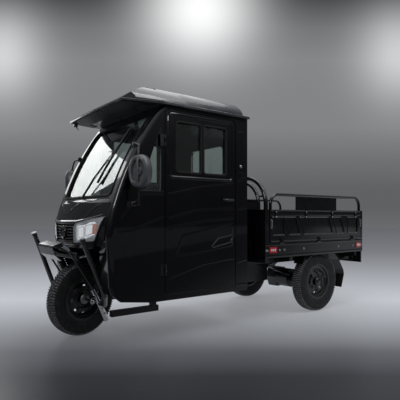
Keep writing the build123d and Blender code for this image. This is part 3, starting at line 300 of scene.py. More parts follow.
class Piece:
    """A mesh gathered from closed shapes, each with its own finish."""

    def __init__(self, name):
        self.name = name
        self.mesh = bmesh.new()
        self.finishes = []

    def index_of(self, finish):
        """A finish's material index, given at its first use."""
        if finish not in self.finishes:
            self.finishes.append(finish)
        return self.finishes.index(finish)

    def take(self, verts, faces, finish, move=None):
        """Add one closed shape."""
        index = self.index_of(finish)
        made = [self.mesh.verts.new(move @ Vector(v) if move else v) for v in verts]
        new_faces = [self.mesh.faces.new([made[i] for i in face]) for face in faces]
        for face in new_faces:
            face.material_index = index
        bmesh.ops.recalc_face_normals(self.mesh, faces=new_faces)
        return new_faces

    def absorb(self, mesh, finish):
        """Add a finished mesh."""
        index = self.index_of(finish)
        before = len(self.mesh.faces)
        self.mesh.from_mesh(mesh)
        self.mesh.faces.ensure_lookup_table()
        for face in self.mesh.faces[before:]:
            face.material_index = index

    def brick(self, low, high, finish, bevel, move=None):
        """A box between two corners, its edges rounded."""
        (x0, y0, z0), (x1, y1, z1) = low, high
        verts = [(x, y, z) for x in (x0, x1) for y in (y0, y1) for z in (z0, z1)]
        faces = [(0, 1, 3, 2), (4, 6, 7, 5), (0, 4, 5, 1), (2, 3, 7, 6), (0, 2, 6, 4), (1, 5, 7, 3)]
        edges = list({edge for face in self.take(verts, faces, finish, move) for edge in face.edges})
        bmesh.ops.bevel(self.mesh, geom=edges, offset=bevel, segments=2, affect="EDGES", profile=0.6,
                        clamp_overlap=True)

    def loft(self, rings, finish, closed=False, move=None):
        """A skin over rings of equally many points."""
        count = len(rings[0])
        verts = [p for ring in rings for p in ring]
        faces = []
        for r in range(len(rings) if closed else len(rings) - 1):
            a, b = r * count, (r + 1) % len(rings) * count
            faces += [(a + i, a + (i + 1) % count, b + (i + 1) % count, b + i) for i in range(count)]
        if not closed:
            faces += [tuple(range(count)), tuple(range((len(rings) - 1) * count, len(rings) * count))]
        self.take(verts, faces, finish, move)

    def pipe(self, points, radius, finish, corner=0.0, sides=14, move=None, closed=False):
        """A round bar along straight runs with rounded corners; radius may be a pair for a taper."""
        path = [Vector(p) for p in points]
        if not closed:
            path = rounded_path(path, corner)
        first, last = radius if isinstance(radius, tuple) else (radius, radius)
        rings = []
        across = None
        for i, point in enumerate(path):
            ahead = path[(i + 1) % len(path)] if closed else path[min(i + 1, len(path) - 1)]
            behind = path[i - 1] if closed or i else path[0]
            along = (ahead - behind).normalized()
            if across is None:
                across = along.orthogonal()
            across = (across - along * across.dot(along)).normalized()
            other = along.cross(across)
            size = first + (last - first) * i / (len(path) - 1)
            rings.append([point + (across * cos(t) + other * sin(t)) * size
                          for t in (2 * pi * k / sides for k in range(sides))])
        self.loft(rings, finish, closed, move)

    def turned(self, profile, origin, axis, finish, steps=48):
        """A ring turned about an axis from its closed section."""
        self.loft(spun(profile, origin, axis, steps), finish, closed=True)

    def disc(self, profile, origin, axis, finish, steps=24, move=None):
        """A solid of revolution, closed at its profile's ends."""
        self.loft(list(zip(*spun(profile, origin, axis, steps))), finish, move=move)

    def sheet(self, outline, surface, low, high, finish):
        """A plate that follows a surface, between two heights above it."""
        flat = bmesh.new()
        flat.faces.new([flat.verts.new((a, b, 0.0)) for a, b in outline])
        for axis in (0, 1):
            place = min(p[axis] for p in outline) + SHEET_STEP
            while place < max(p[axis] for p in outline) - 1.0:
                cut = [0.0, 0.0, 0.0]
                cut[axis] = 1.0
                bmesh.ops.bisect_plane(flat, geom=flat.verts[:] + flat.edges[:] + flat.faces[:],
                                       plane_co=[place * c for c in cut], plane_no=cut)
                place += SHEET_STEP
        index = {vert: i for i, vert in enumerate(flat.verts)}
        count = len(index)
        verts = [surface(v.co.x, v.co.y, h) for h in (high, low) for v in flat.verts]
        faces = [tuple(index[v] for v in face.verts) for face in flat.faces]
        faces += [tuple(count + i for i in face) for face in faces]
        for edge in flat.edges:
            if len(edge.link_faces) == 1:
                a, b = (index[v] for v in edge.verts)
                faces.append((a, b, count + b, count + a))
        flat.free()
        self.take(verts, faces, finish)

    def bead(self, path, surface, profile, finish, closed=False):
        """A strip along a line on a surface; the profile gives places across it and heights."""
        points = [Vector(p) for p in path]
        ends = points + points[:1] if closed else points
        fine = []
        for start, end in zip(ends, ends[1:]):
            parts = max(1, ceil((end - start).length / BEAD_STEP))
            fine += [start.lerp(end, k / parts) for k in range(parts)]
        if not closed:
            fine.append(ends[-1])
        rings = []
        for i, point in enumerate(fine):
            behind = point - fine[i - 1] if closed or i else fine[1] - point
            ahead = fine[(i + 1) % len(fine)] - point if closed or i < len(fine) - 1 else behind
            along = (behind.normalized() + ahead.normalized()).normalized()
            across = Vector((-along.y, along.x))
            stretch = 1.0 / max(along.dot(behind.normalized()), 0.5)
            rings.append([surface(*(point + across * a * stretch), h) for a, h in profile])
        self.loft(rings, finish, closed)

    def to_data(self, placing):
        """The gathered shapes as one placed mesh."""
        bmesh.ops.transform(self.mesh, matrix=placing, verts=self.mesh.verts)
        data = bpy.data.meshes.new(self.name)
        self.mesh.to_mesh(data)
        self.mesh.free()
        return data

    def seat(self, body, replaces=(), move=None, angle=32.0):
        """Turn the gathered shapes to one object in the frame, riding on its body."""
        data = self.to_data(TO_FRAME @ (move or Matrix.Identity(4)))
        for finish in self.finishes:
            data.materials.append(finish)
        return seat_mesh(data, body, replaces, angle)


def seat_mesh(data, body, replaces=(), angle=32.0):
    """Link a finished mesh as an object that rides on a body."""
    for polygon in data.polygons:
        polygon.use_smooth = True
    data.set_sharp_from_angle(angle=radians(angle))
    obj = linked(data.name, data)
    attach(obj, body)
    if replaces:
        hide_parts(*replaces)
    return obj


def rounded_path(points, corner, steps=6):
    """A polyline with its inner corners turned to arcs."""
    if not corner or len(points) < 3:
        return points
    path = [points[0]]
    for before, here, after in zip(points, points[1:], points[2:]):
        inward, outward = (before - here), (after - here)
        turn = inward.angle(outward)
        reach = min(corner / max(abs(sin(turn / 2) / max(cos(turn / 2), 1e-6)), 1e-6), inward.length * 0.49,
                    outward.length * 0.49)
        start, end = here + inward.normalized() * reach, here + outward.normalized() * reach
        for k in range(steps + 1):
            t = k / steps
            path.append(start * (1 - t) ** 2 + here * 2 * t * (1 - t) + end * t * t)
    path.append(points[-1])
    return path


# Geometry Nodes: what repeats round a wheel, at bolt places and along a coil

def new_tree(name, **values):
    """A Geometry Nodes tree that takes a mesh, named values and a material, with its given sockets and output."""
    tree = bpy.data.node_groups.new(name, "GeometryNodeTree")
    for label, kind in {"Geometry": "Geometry", **values, "Material": "Material"}.items():
        tree.interface.new_socket(label.replace("_", " "), in_out="INPUT", socket_type=f"NodeSocket{kind}")
    tree.interface.new_socket("Geometry", in_out="OUTPUT", socket_type="NodeSocketGeometry")
    return tree, tree.nodes.new("NodeGroupInput").outputs, tree.nodes.new("NodeGroupOutput")


def step(tree, kind, **inputs):
    """A Geometry Nodes step's first output."""
    named = {key.replace("_", " "): value for key, value in inputs.items()}
    return put(tree, f"GeometryNode{kind}", named).outputs[0]


def finish_tree(tree, made, given, out):
    """Close a tree with Realize Instances and Set Material."""
    real = step(tree, "RealizeInstances", Geometry=made)
    tree.links.new(step(tree, "SetMaterial", Geometry=real, Material=given["Material"]), out.inputs[0])
    return tree


def grown(name, data, tree, values):
    """The plain mesh that a tree makes from a mesh."""
    carrier = linked(name, data)
    modifier = carrier.modifiers.new("grow", "NODES")
    modifier.node_group = tree
    for item in tree.interface.items_tree:
        if item.in_out == "INPUT" and item.name in values:
            modifier[item.identifier] = values[item.name]
    bpy.context.view_layer.update()
    depsgraph = bpy.context.evaluated_depsgraph_get()
    result = bpy.data.meshes.new_from_object(carrier.evaluated_get(depsgraph))
    result.name = name
    bpy.data.objects.remove(carrier)
    return result


def make_ring_tree():
    """Copies of the carried mesh round the X axis."""
    tree, given, out = new_tree("lugs_round_a_wheel", Count="Int")
    share = calc(tree, "DIVIDE", step(tree, "InputIndex"), given["Count"])
    turn = put(tree, "ShaderNodeCombineXYZ", {"X": calc(tree, "MULTIPLY", share, 2 * pi)})
    placed = step(tree, "InstanceOnPoints", Points=step(tree, "Points", Count=given["Count"]),
                  Rotation=turn.outputs[0], Instance=given["Geometry"])
    return finish_tree(tree, placed, given, out)


def make_bolt_tree():
    """A hexagon head with its washer on every point, facing along the point's attribute."""
    tree, given, out = new_tree("hexagon_bolts", Head_Radius="Float", Head_Height="Float")
    radius, height = given["Head Radius"], given["Head Height"]
    half = calc(tree, "MULTIPLY", height, 0.5)
    head = step(tree, "MeshCylinder", Vertices=6, Radius=radius, Depth=height)
    raised = put(tree, "ShaderNodeCombineXYZ", {"Z": half}).outputs[0]
    washer = step(tree, "MeshCylinder", Vertices=16, Radius=calc(tree, "MULTIPLY", radius, 1.55), Depth=half)
    both = put(tree, "GeometryNodeJoinGeometry")
    for part in (step(tree, "Transform", Geometry=head, Translation=raised), washer):
        tree.links.new(part, both.inputs[0])
    facing = put(tree, "GeometryNodeInputNamedAttribute", {"Name": "facing"}, data_type="FLOAT_VECTOR")
    turn = put(tree, "FunctionNodeAlignEulerToVector", {"Vector": facing.outputs["Attribute"]}, axis="Z")
    placed = step(tree, "InstanceOnPoints", Points=given["Geometry"], Instance=both.outputs[0],
                  Rotation=turn.outputs[0])
    return finish_tree(tree, placed, given, out)


def make_coil_tree():
    """A wire wound along Z."""
    tree, given, out = new_tree("wound_wire", Turns="Float", Coil_Radius="Float", Length="Float",
                                Wire_Radius="Float")
    spiral = step(tree, "CurveSpiral", Resolution=20, Rotations=given["Turns"], Start_Radius=given["Coil Radius"],
                  End_Radius=given["Coil Radius"], Height=given["Length"])
    wire = step(tree, "CurvePrimitiveCircle", Resolution=8, Radius=given["Wire Radius"])
    return finish_tree(tree, step(tree, "CurveToMesh", Curve=spiral, Profile_Curve=wire, Fill_Caps=True), given, out)


bolt_tree = make_bolt_tree()


def bolts(name, places, body, radius=7.0, height=6.0, finish=zinc_plate, move=None):
    """Bolt heads at places in the part's millimetres, each with the way it faces."""
    placing = TO_FRAME @ (move or Matrix.Identity(4))
    data = bpy.data.meshes.new(name)
    data.from_pydata([placing @ Vector(p) for p, _ in places], [], [])
    facing = data.attributes.new("facing", "FLOAT_VECTOR", "POINT")
    for item, (_, way) in zip(facing.data, places):
        item.vector = (placing.to_3x3() @ Vector(way)).normalized()
    result = grown(name, data, bolt_tree, {"Head Radius": radius * MM, "Head Height": height * MM, "Material": finish})
    return seat_mesh(result, body)


# Tyres: carcass with ribbed walls, and lugs cut to the crown

TREAD_DEPTH = 8.0
TREAD_PITCHES = 84
LUG_ROOT = 5.0
SHOULDER_X = 46.0
SHOULDER_DROP = 5.0
# A side's shoulder lug, raked block and rib tooth: places across the tread and shares of the pitch round it
LUG_PLAN = (((31, -0.30), (44, -0.34), (48.5, -0.30), (48.5, 0.22), (44, 0.26), (31, 0.16)),
            ((13, -0.36), (26, -0.26), (27, 0.22), (16, 0.30), (12, 0.08)),
            ((1.5, -0.16), (9, -0.30), (9, 0.24), (1.5, 0.30)))


def crown(x):
    """The tread surface's radius at a distance from the tyre's middle."""
    return TYRE_RADIUS - CROWN_RADIUS + sqrt(CROWN_RADIUS ** 2 - x * x)


def carcass_profile():
    """Half section mirrored: grooves' floor, shoulder, bulged wall with its ribs, bead."""
    half = [(x, crown(x) - TREAD_DEPTH) for x in (0, 16, 32, 42)]
    half += [(47, 255), (51, 246), (53.4, 238), (54.6, 232), (53.6, 230.5), (55, 222), (55, 210), (53.8, 204),
             (54.4, 202), (53.2, 194), (51, 184), (49, 176), (48.4, 171), (49.4, 169), (47, 167), (43.5, 165.5),
             (42.7, 153.3)]
    return half + [(-x, r) for x, r in reversed(half[1:])]


def make_lugs():
    """One pitch of tread in metres, its two sides half a pitch apart."""
    lugs = Piece("tread_pitch")
    pitch = 2 * pi / TREAD_PITCHES
    for side, shift in ((1, 0.0), (-1, 0.5)):
        for outline in LUG_PLAN:
            top, low = [], []
            for x, share in outline:
                angle = (share + shift) * pitch
                drop = SHOULDER_DROP if x > SHOULDER_X else 0.0
                for ring, down in ((top, drop), (low, TREAD_DEPTH + LUG_ROOT)):
                    r = crown(x) - down
                    ring.append((side * x, -sin(angle) * r, cos(angle) * r))
            lugs.loft([low, top], tread_rubber)
    return lugs.to_data(Matrix.Scale(MM, 4))


tread = grown("tread", make_lugs(), make_ring_tree(), {"Count": TREAD_PITCHES, "Material": tread_rubber})
tread.transform(Matrix.Scale(1 / MM, 4))


def make_tyre(name, body, node, centre, move=None):
    """Carcass and tread as one piece in place of the plain tyre."""
    tyre = Piece(name)
    tyre.turned(carcass_profile(), (0, 0, 0), (1, 0, 0), tyre_rubber, steps=96)
    tyre.absorb(tread, tread_rubber)
    tyre.seat(body, (node,), (move or Matrix.Identity(4)) @ Matrix.Translation(centre))


make_tyre("front_tyre_ribbed", "front_wheel", "front_tyre", HUB, STEERED)
for name, side in SIDES:
    make_tyre(f"rear_tyre_ribbed_{name}", f"rear_wheel_{name}", f"rear_tyre_{name}",
              (side * REAR_TRACK_HALF, REAR_AXLE_Y, TYRE_RADIUS))
bpy.data.meshes.remove(tread)


# Surfaces that trims lie on: a place on the sheet and a height above it give a point

# Rows of the nose: height, half width, and the places of its corner and its middle
NOSE_ROWS = ((672.0, 452.0, -8.0, -112.0), (700.0, 478.0, -20.0, -134.0), (863.0, 486.0, -20.0, -141.0),
             (1000.0, 470.0, 6.0, -104.0), (1042.0, 452.0, 34.0, 20.0))
# The swept front's two arcs below and above their meeting height: middle's place and height, radius
FRONT_MEETING = 981.0
FRONT_LOWER = (765.17, 743.64, 796.37)
FRONT_UPPER = (2204.20, 294.30, 2303.91)
CAB_HALF = 530.0
BED_HALF = 560.0
BED_FRONT = 1400.0
BED_REAR = 2830.0


def on_nose(x, z, height=0.0):
    """The nose's skin: bowed rows, straight between them."""
    level = min(max(z, NOSE_ROWS[0][0]), NOSE_ROWS[-1][0] - 0.1)
    low, high = next((a, b) for a, b in zip(NOSE_ROWS, NOSE_ROWS[1:]) if level <= b[0])
    share = (level - low[0]) / (high[0] - low[0])
    half, corner, middle = (a + (b - a) * share for a, b in zip(low[1:], high[1:]))
    bow = corner - middle
    radius = (half * half + bow * bow) / (2 * bow)
    return Vector((x, middle + radius - sqrt(radius ** 2 - x * x) - height, z))


def on_half(side):
    """The nose's half, mirrored for the right."""
    return lambda x, z, height=0.0: on_nose(side * x, z, height)


def on_front(x, z, height=0.0):
    """The cab's swept front between the pillars."""
    y, level, radius = FRONT_LOWER if z < FRONT_MEETING else FRONT_UPPER
    return Vector((x, y - sqrt((radius + height) ** 2 - (z - level) ** 2), z))


def on_side(side, half=CAB_HALF):
    """A flat side at a half width, by its place along the vehicle and its height."""
    return lambda y, z, height=0.0: Vector((side * (half + height), y, z))


def on_gate(x, z, height=0.0):
    """The tailgate's outer face."""
    return Vector((x, BED_REAR + height, z))


def soft(outline, corner):
    """A closed outline with its corners rounded."""
    points = [Vector((a, b, 0.0)) for a, b in outline]
    start = (points[-1] + points[0]) / 2
    return [(p.x, p.y) for p in rounded_path([start, *points, start], corner, 5)[:-1]]


def oblong(a0, a1, b0, b1, corner):
    """A rectangle's outline with its corners rounded."""
    return soft([(a0, b0), (a1, b0), (a1, b1), (a0, b1)], corner)


RIDGE = ((-15, -1), (-8, 0.5), (0, 1.3), (8, 0.5), (15, -1))
ROLL = ((-6, -1), (-4.5, 3), (0, 4.6), (4.5, 3), (6, -1))
PANEL = ((-7, -1), (-3, 3.5), (0, 4.4), (3, 3.5), (7, -1))
EDGE = ((-7, -1), (-6, 3), (0, 5), (6, 3), (7, -1))

# Nose: bare grille, its frame and backing, lip and creases
GRILLE_BARS = 7
GRILLE_FOOT = 724.0
GRILLE_PITCH = 21.5
nose_trim = Piece("nose_trim")
nose_trim.sheet(oblong(-172, 172, 720, 857, 12), on_nose, -30, -25, seal_rubber)
nose_trim.bead(oblong(-180, 180, 712, 865, 16), on_nose, ((-7, -6), (-6, 3), (0, 6), (5, 3), (6, -6)), black_abs,
               closed=True)
for row in range(GRILLE_BARS):
    level = GRILLE_FOOT + row * GRILLE_PITCH
    nose_trim.bead([(-174, level), (174, level)], on_nose, ((-4, -16), (-4.5, 1), (0, 4), (4.5, 1), (4, -16)),
                   black_abs)
nose_trim.disc([(-16, 50), (8, 50), (13, 46), (14, 40), (10, 36), (10, 8), (13, 5), (13, 1)],
               on_nose(0, 788), (0, -1, 0.03), nose_lacquer, steps=40)
nose_trim.seat("chassis")
nose_lines = Piece("nose_pressed_lines")
for side in (1, -1):
    skin = on_half(side)
    nose_lines.bead([(26, 918), (104, 958), (168, 993), (176, 1018)], skin, RIDGE, nose_lacquer)
    nose_lines.bead([(276, 886), (336, 948), (400, 996), (412, 1020)], skin, RIDGE, nose_lacquer)
    nose_lines.sheet([(392, 744), (478, 744), (484, 910), (466, 910)], skin, -9, 0.5, nose_lacquer)
nose_lines.bead([(-440, 914), (-350, 893), (-201, 870), (0, 868), (201, 870), (350, 893), (440, 914)], on_nose,
                ((-5, -1), (-4, 4), (0, 6), (3, 3), (9, -1)), nose_lacquer)
nose_lines.bead([(-446, 1034), (-200, 1035), (0, 1036), (200, 1035), (446, 1034)], on_nose, ROLL, seal_rubber)
nose_lines.bead([(-440, 680), (0, 680), (440, 680)], on_nose, ((-6, -1), (-6, 4), (0, 5), (6, 4), (6, -1)),
                nose_lacquer)
nose_lines.seat("chassis")

# Headlamps: metallised floor, stepped white blocks and the amber indicator under a raised clear lens
LAMP = [(172, 727), (184, 716), (388, 735), (398, 749), (470, 905), (355, 887), (203, 852), (178, 830)]
LAMP_BLOCK = [(222, 838), (213, 739), (297, 749), (388, 779), (398, 867), (355, 864), (307, 846)]
LAMP_STEPS = ([(234, 824), (226, 754), (292, 762), (297, 834)], [(310, 840), (306, 766), (374, 788), (382, 852)])
INDICATOR = [(374, 782), (406, 786), (414, 856), (380, 850)]
for name, side in SIDES:
    skin = on_half(side)
    headlamp = Piece(f"headlamp_{name}_made")
    headlamp.sheet(soft(LAMP, 9), skin, -6, 1.5, metallised)
    headlamp.bead(soft(LAMP, 9), skin, ((-4, -6), (-4, 10), (-1, 12.5), (2, 11), (3, -6)), black_abs, closed=True)
    headlamp.sheet(soft(LAMP_BLOCK, 10), skin, 1, 5.5, opal_white_painted_glow)
    for inner in LAMP_STEPS:
        headlamp.sheet(soft(inner, 9), skin, 5, 7.5, opal_white_painted_glow)
        headlamp.bead(soft(inner, 9), skin, ((-2, 5), (-1.5, 9), (1.5, 9), (2, 5)), metallised, closed=True)
    for k in range(4):
        headlamp.bead([(196 + k * 14, 724 + k * 2.4), (384 + k * 4, 742 + k * 9)], skin,
                      ((-2.5, 1), (0, 4), (2.5, 1)), metallised)
    headlamp.sheet(soft(INDICATOR, 7), skin, 1, 8.5, amber_acrylic)
    headlamp.seat("chassis", (f"headlamp_{name}",))
    lens = Piece(f"headlamp_{name}_lens")
    lens.sheet(soft(LAMP, 9), skin, 10.5, 12.5, clear_lens)
    lens.seat("chassis")

# Windscreen: rubber gasket and the wiper
gasket = Piece("windscreen_gasket")
gasket.bead(soft([(-430, 1052), (430, 1052), (448, 1640), (-448, 1640)], 48), on_front,
            ((-11, -14), (-9, 3), (-3, 6), (5, 5), (10, 1), (11, -14)), seal_rubber, closed=True)
gasket.seat("chassis")
BLADE = [(150, 1155), (196, 1290), (240, 1430), (262, 1564)]
wiper = Piece("wiper_made")
wiper.disc([(0, 17), (10, 17), (14, 13), (22, 12), (24, 8)], on_front(-28, 1046, -6), (0, -0.9, 0.4), black_abs)
wiper.pipe([on_front(-28, 1050, 14), on_front(86, 1196, 22), on_front(183, 1327, 18), on_front(247, 1437, 12)],
           (6.0, 3.5), black_abs, corner=30)
wiper.pipe([on_front(-12, 1046, 12), on_front(100, 1190, 18), on_front(192, 1325, 14)], 2.6, black_abs, corner=20)
wiper.bead(BLADE, on_front, ((-5, 3), (-4, 11), (0, 15), (4, 11), (5, 3)), black_abs)
wiper.bead(BLADE, on_front, ((-1.5, -3), (-1.5, 4), (1.5, 4), (1.5, -3)), seal_rubber)
wiper.seat("chassis", ("wiper",))

# Doors and the cab's sides: window seals, pressed lines and panels, keyhole
DOOR_LINES = (
    [(440, 1065), (476, 1071), (728, 1126), (1070, 1169)],
    [(440, 884), (461, 893), (696, 951), (825, 957), (1066, 970)],
    [(440, 810), (491, 829), (728, 864), (1070, 891)],
    [(440, 452), (476, 464), (760, 537), (1070, 568)],
)
SIDE_LINES = (
    [(1108, 1187), (1206, 1228)], [(1108, 963), (1210, 980)], [(1108, 529), (1210, 550)],
    [(1108, 345), (1210, 345)], [(403, 1059), (233, 1054), (129, 971), (60, 886)],
    [(40, 803), (154, 811), (403, 900)], [(200, 1075), (399, 1075)],
)
for name, side in SIDES:
    skin = on_side(side)
    door = Piece(f"door_pressings_{name}")
    for line in DOOR_LINES:
        door.bead(line, skin, RIDGE, cab_lacquer)
    door.bead(soft([(498, 609), (1048, 673), (1048, 849), (572, 766)], 16), skin, RIDGE, cab_lacquer, closed=True)
    door.bead(soft([(833, 665), (867, 663), (1039, 698), (1062, 756), (909, 731)], 8), skin, ROLL, cab_lacquer,
              closed=True)
    door.bead(oblong(446, 1056, 1192, 1656, 34), skin, ((-12, -1), (-8, 4), (-2, 5.5), (6, 4), (12, -1)),
              cab_lacquer, closed=True)
    door.seat(f"door_{name}")
    seals = Piece(f"door_window_seals_{name}")
    for low, high in ((510, 741), (763, 990)):
        seals.bead(oblong(low, high, 1230, 1605, 26), skin,
                   ((-9, -13), (-8, 2), (-3, 4.5), (4, 4), (9, 0), (9, -13)), seal_rubber, closed=True)
    seals.seat(f"door_{name}")
    pressings = Piece(f"cab_side_pressings_{name}")
    for line in SIDE_LINES:
        pressings.bead(line, skin, RIDGE, cab_lacquer)
    pressings.bead(oblong(1120, 1182, 1258, 1593, 16), skin, RIDGE, cab_lacquer, closed=True)
    pressings.disc([(0, 13), (3, 13), (5, 9), (5, 3)], skin(1148, 1314), (side, 0, 0), zinc_plate)
    pressings.seat("chassis")


# Mirrors: grained housing with an oval recess, clamped on two bent arms
MIRROR_X = 628.0
MIRROR_Y = 150.0
MIRROR_Z = 1204.0
MIRROR_TURN = 32.0


def squarish(value, power):
    """A sine or cosine pushed towards the corners of a square."""
    return abs(value) ** power * (1 if value >= 0 else -1)


def oval(half_x, half_z, y, power=2.5, count=36):
    """A squarish oval across the vehicle, round the mirror's middle."""
    turns = [2 * pi * k / count for k in range(count)]
    return [(MIRROR_X + half_x * squarish(cos(t), 2 / power), y, MIRROR_Z + half_z * squarish(sin(t), 2 / power))
            for t in turns]


# Shares of the housing's half width and half height, by place along the vehicle
SHELLS = ((0.93, 0.95, 186), (0.99, 0.99, 182), (1.0, 1.0, 170), (0.99, 0.99, 148), (0.93, 0.95, 128),
          (0.82, 0.87, 116), (0.7, 0.78, 112), (0.6, 0.68, 114), (0.55, 0.62, 122), (0.5, 0.56, 128),
          (0.3, 0.34, 129))
for name, side in SIDES:
    mirrored = Matrix.Diagonal((side, 1.0, 1.0, 1.0))
    pivot = Matrix.Translation((MIRROR_X, MIRROR_Y, 0.0))
    turned_out = mirrored @ pivot @ Matrix.Rotation(radians(MIRROR_TURN), 4, "Z") @ pivot.inverted()
    housing = Piece(f"mirror_housing_{name}")
    housing.loft([oval(78 * w, 117 * h, y, 2.3) for w, h, y in SHELLS], grained_abs, move=turned_out)
    housing.loft([oval(67, 109, y) for y in (186.2, 187.4)], silvered_glass, move=turned_out)
    housing.brick((619, 112, 1110), (637, 127, 1298), grained_abs, 3, turned_out)
    housing.disc([(0, 30), (8, 30), (12, 24), (12, 12), (6, 10), (6, 2)], (628, 128, 1204), (0, -1, 0), grained_abs,
                 move=turned_out)
    for arm in ([(608, 152, 1296), (600, 156, 1350), (588, 166, 1396), (540, 176, 1404), (496, 182, 1404)],
                [(616, 150, 1114), (614, 150, 1040), (608, 150, 996), (534, 150, 990)]):
        housing.pipe(arm, 7, powder_coat, corner=22, move=mirrored)
    for place in ((614 * side, 150, 1092), (604 * side, 153, 1306)):
        housing.disc([(0, 12), (16, 12), (18, 9), (18, 3)], place, (0, 0, 1), seal_rubber)
    housing.sheet([(206, 1008), (104, 1006), (98, 962), (206, 978)], on_side(side), 0, 5, powder_coat)
    for low, high in (((528, 136, 974), (545, 164, 1006)), ((490, 166, 1386), (512, 198, 1422))):
        housing.brick(low, high, powder_coat, 4, mirrored)
    housing.seat("chassis", (f"mirror_{name}",))

# Front fork, its brake plate and the fender's film
SLIDER_HALF = 125.0
SLIDER_FOOT = Vector((0.0, 148.0, 110.0))
SLIDER_RUN = Vector((0.0, -276.0, 510.0))
FENDER_HALF = 92.0


def slider(side, share):
    """A place on a slider's middle line."""
    return SLIDER_FOOT + SLIDER_RUN * share + Vector((side * SLIDER_HALF, 0.0, 0.0))


coil_tree = make_coil_tree()
springs = Piece("fork_springs_wound")
chrome = Piece("fork_chrome_sleeves")
for side in (1, -1):
    outward = (side, 0, 0)
    springs.pipe([slider(side, 0.545), slider(side, 0.935)], 21.0, seal_rubber, sides=20)
    for share in (0.54, 0.93):
        springs.pipe([slider(side, share), slider(side, share + 0.016)], 31.0, powder_coat, sides=24)
    coil = grown("coil", bpy.data.meshes.new("coil_seed"), coil_tree,
                 {"Turns": 11.0, "Coil Radius": 0.0265, "Length": 0.22, "Wire Radius": 0.0045,
                  "Material": powder_coat})
    turn = SLIDER_RUN.to_track_quat("Z", "Y").to_matrix().to_4x4()
    coil.transform(Matrix.Translation(slider(side, 0.55)) @ turn @ Matrix.Scale(1 / MM, 4))
    springs.absorb(coil, powder_coat)
    chrome.pipe([slider(side, 0.0), slider(side, 0.02), slider(side, 0.49), slider(side, 0.51)], 21.5, hard_chrome,
                sides=24)
    chrome.pipe([slider(side, 0.51), slider(side, 0.54)], 24, seal_rubber, sides=24)
    chrome.disc([(0, 21), (4, 21), (10, 15), (22, 14), (28, 9), (28, 3)], HUB + Vector((side * 137.0, 0, 0)),
                outward, hard_chrome, steps=18)
    chrome.disc([(0, 26), (4, 26), (4, 8)], HUB + Vector((side * 136.4, 0, 0)), outward, zinc_plate)
    for share in (0.12, 0.2):
        chrome.disc([(0, 7), (6, 7), (6, 2)], slider(side, share) + Vector((side * 20, 0, 0)), outward, yellow_zinc,
                    steps=12)
springs.seat("steering", ("fork_springs",), STEERED)
chrome.seat("steering", (), STEERED)
brake = Piece("front_brake_arm")
brake.turned([(-84, 20), (-84, 84), (-76, 88), (-62, 88), (-62, 20)], HUB, (1, 0, 0), cast_alloy)
brake.pipe([HUB + Vector((-92, 0, 52)), HUB + Vector((-92, 46, 96))], 6, yellow_zinc)
brake.seat("steering", (), STEERED)
film = Piece("fender_silver_film")
for side in (1, -1):
    film.sheet([(-236, 717), (-190, 691), (-160, 651), (-113, 645), (-113, 633), (-128, 641), (-140, 634), (-152, 648),
                (-166, 640), (-176, 661), (-192, 654), (-200, 677), (-216, 671), (-228, 702)],
               on_side(side, FENDER_HALF), -0.5, 0.6, silver_film)
film.seat("steering", (), STEERED)


def wheel_details(name, body, centre, outward, nuts, cap_finish, move=None):
    """What shows on a rim: nuts round the hub, the cap, a valve and the rolled lip."""
    wheel = Piece(name)
    x, y, z = centre
    for side in (1, -1):
        wheel.turned([(side * 45, 163), (side * 48.5, 163), (side * 49.5, 165), (side * 49.5, 168), (side * 48, 170),
                      (side * 45, 168)], centre, (1, 0, 0), powder_coat, steps=72)
    wheel.disc([(outward * a, r) for a, r in ((36, 40), (44, 40), (50, 34), (56, 22), (58, 6))],
               centre, (1, 0, 0), cap_finish, steps=32)
    for k in range(nuts):
        t = 2 * pi * k / nuts
        wheel.disc([(outward * a, r) for a, r in ((-2, 15), (3, 15), (3, 10), (14, 10), (16, 7), (16, 2))],
                   (x + outward * 36, y + 84 * sin(t), z + 84 * cos(t)), (1, 0, 0), powder_coat, steps=6)
    wheel.pipe([(x + outward * 20, y + 118, z + 40), (x + outward * 52, y + 112, z + 38)], 3.2, zinc_plate, sides=8)
    wheel.seat(body, (), move)


wheel_details("front_wheel_details", "front_wheel", HUB, 1, 5, cast_alloy, STEERED)
for name, side in SIDES:
    wheel_details(f"rear_wheel_details_{name}", f"rear_wheel_{name}",
                  Vector((side * REAR_TRACK_HALF, REAR_AXLE_Y, TYRE_RADIUS)), side, 6, powder_coat)

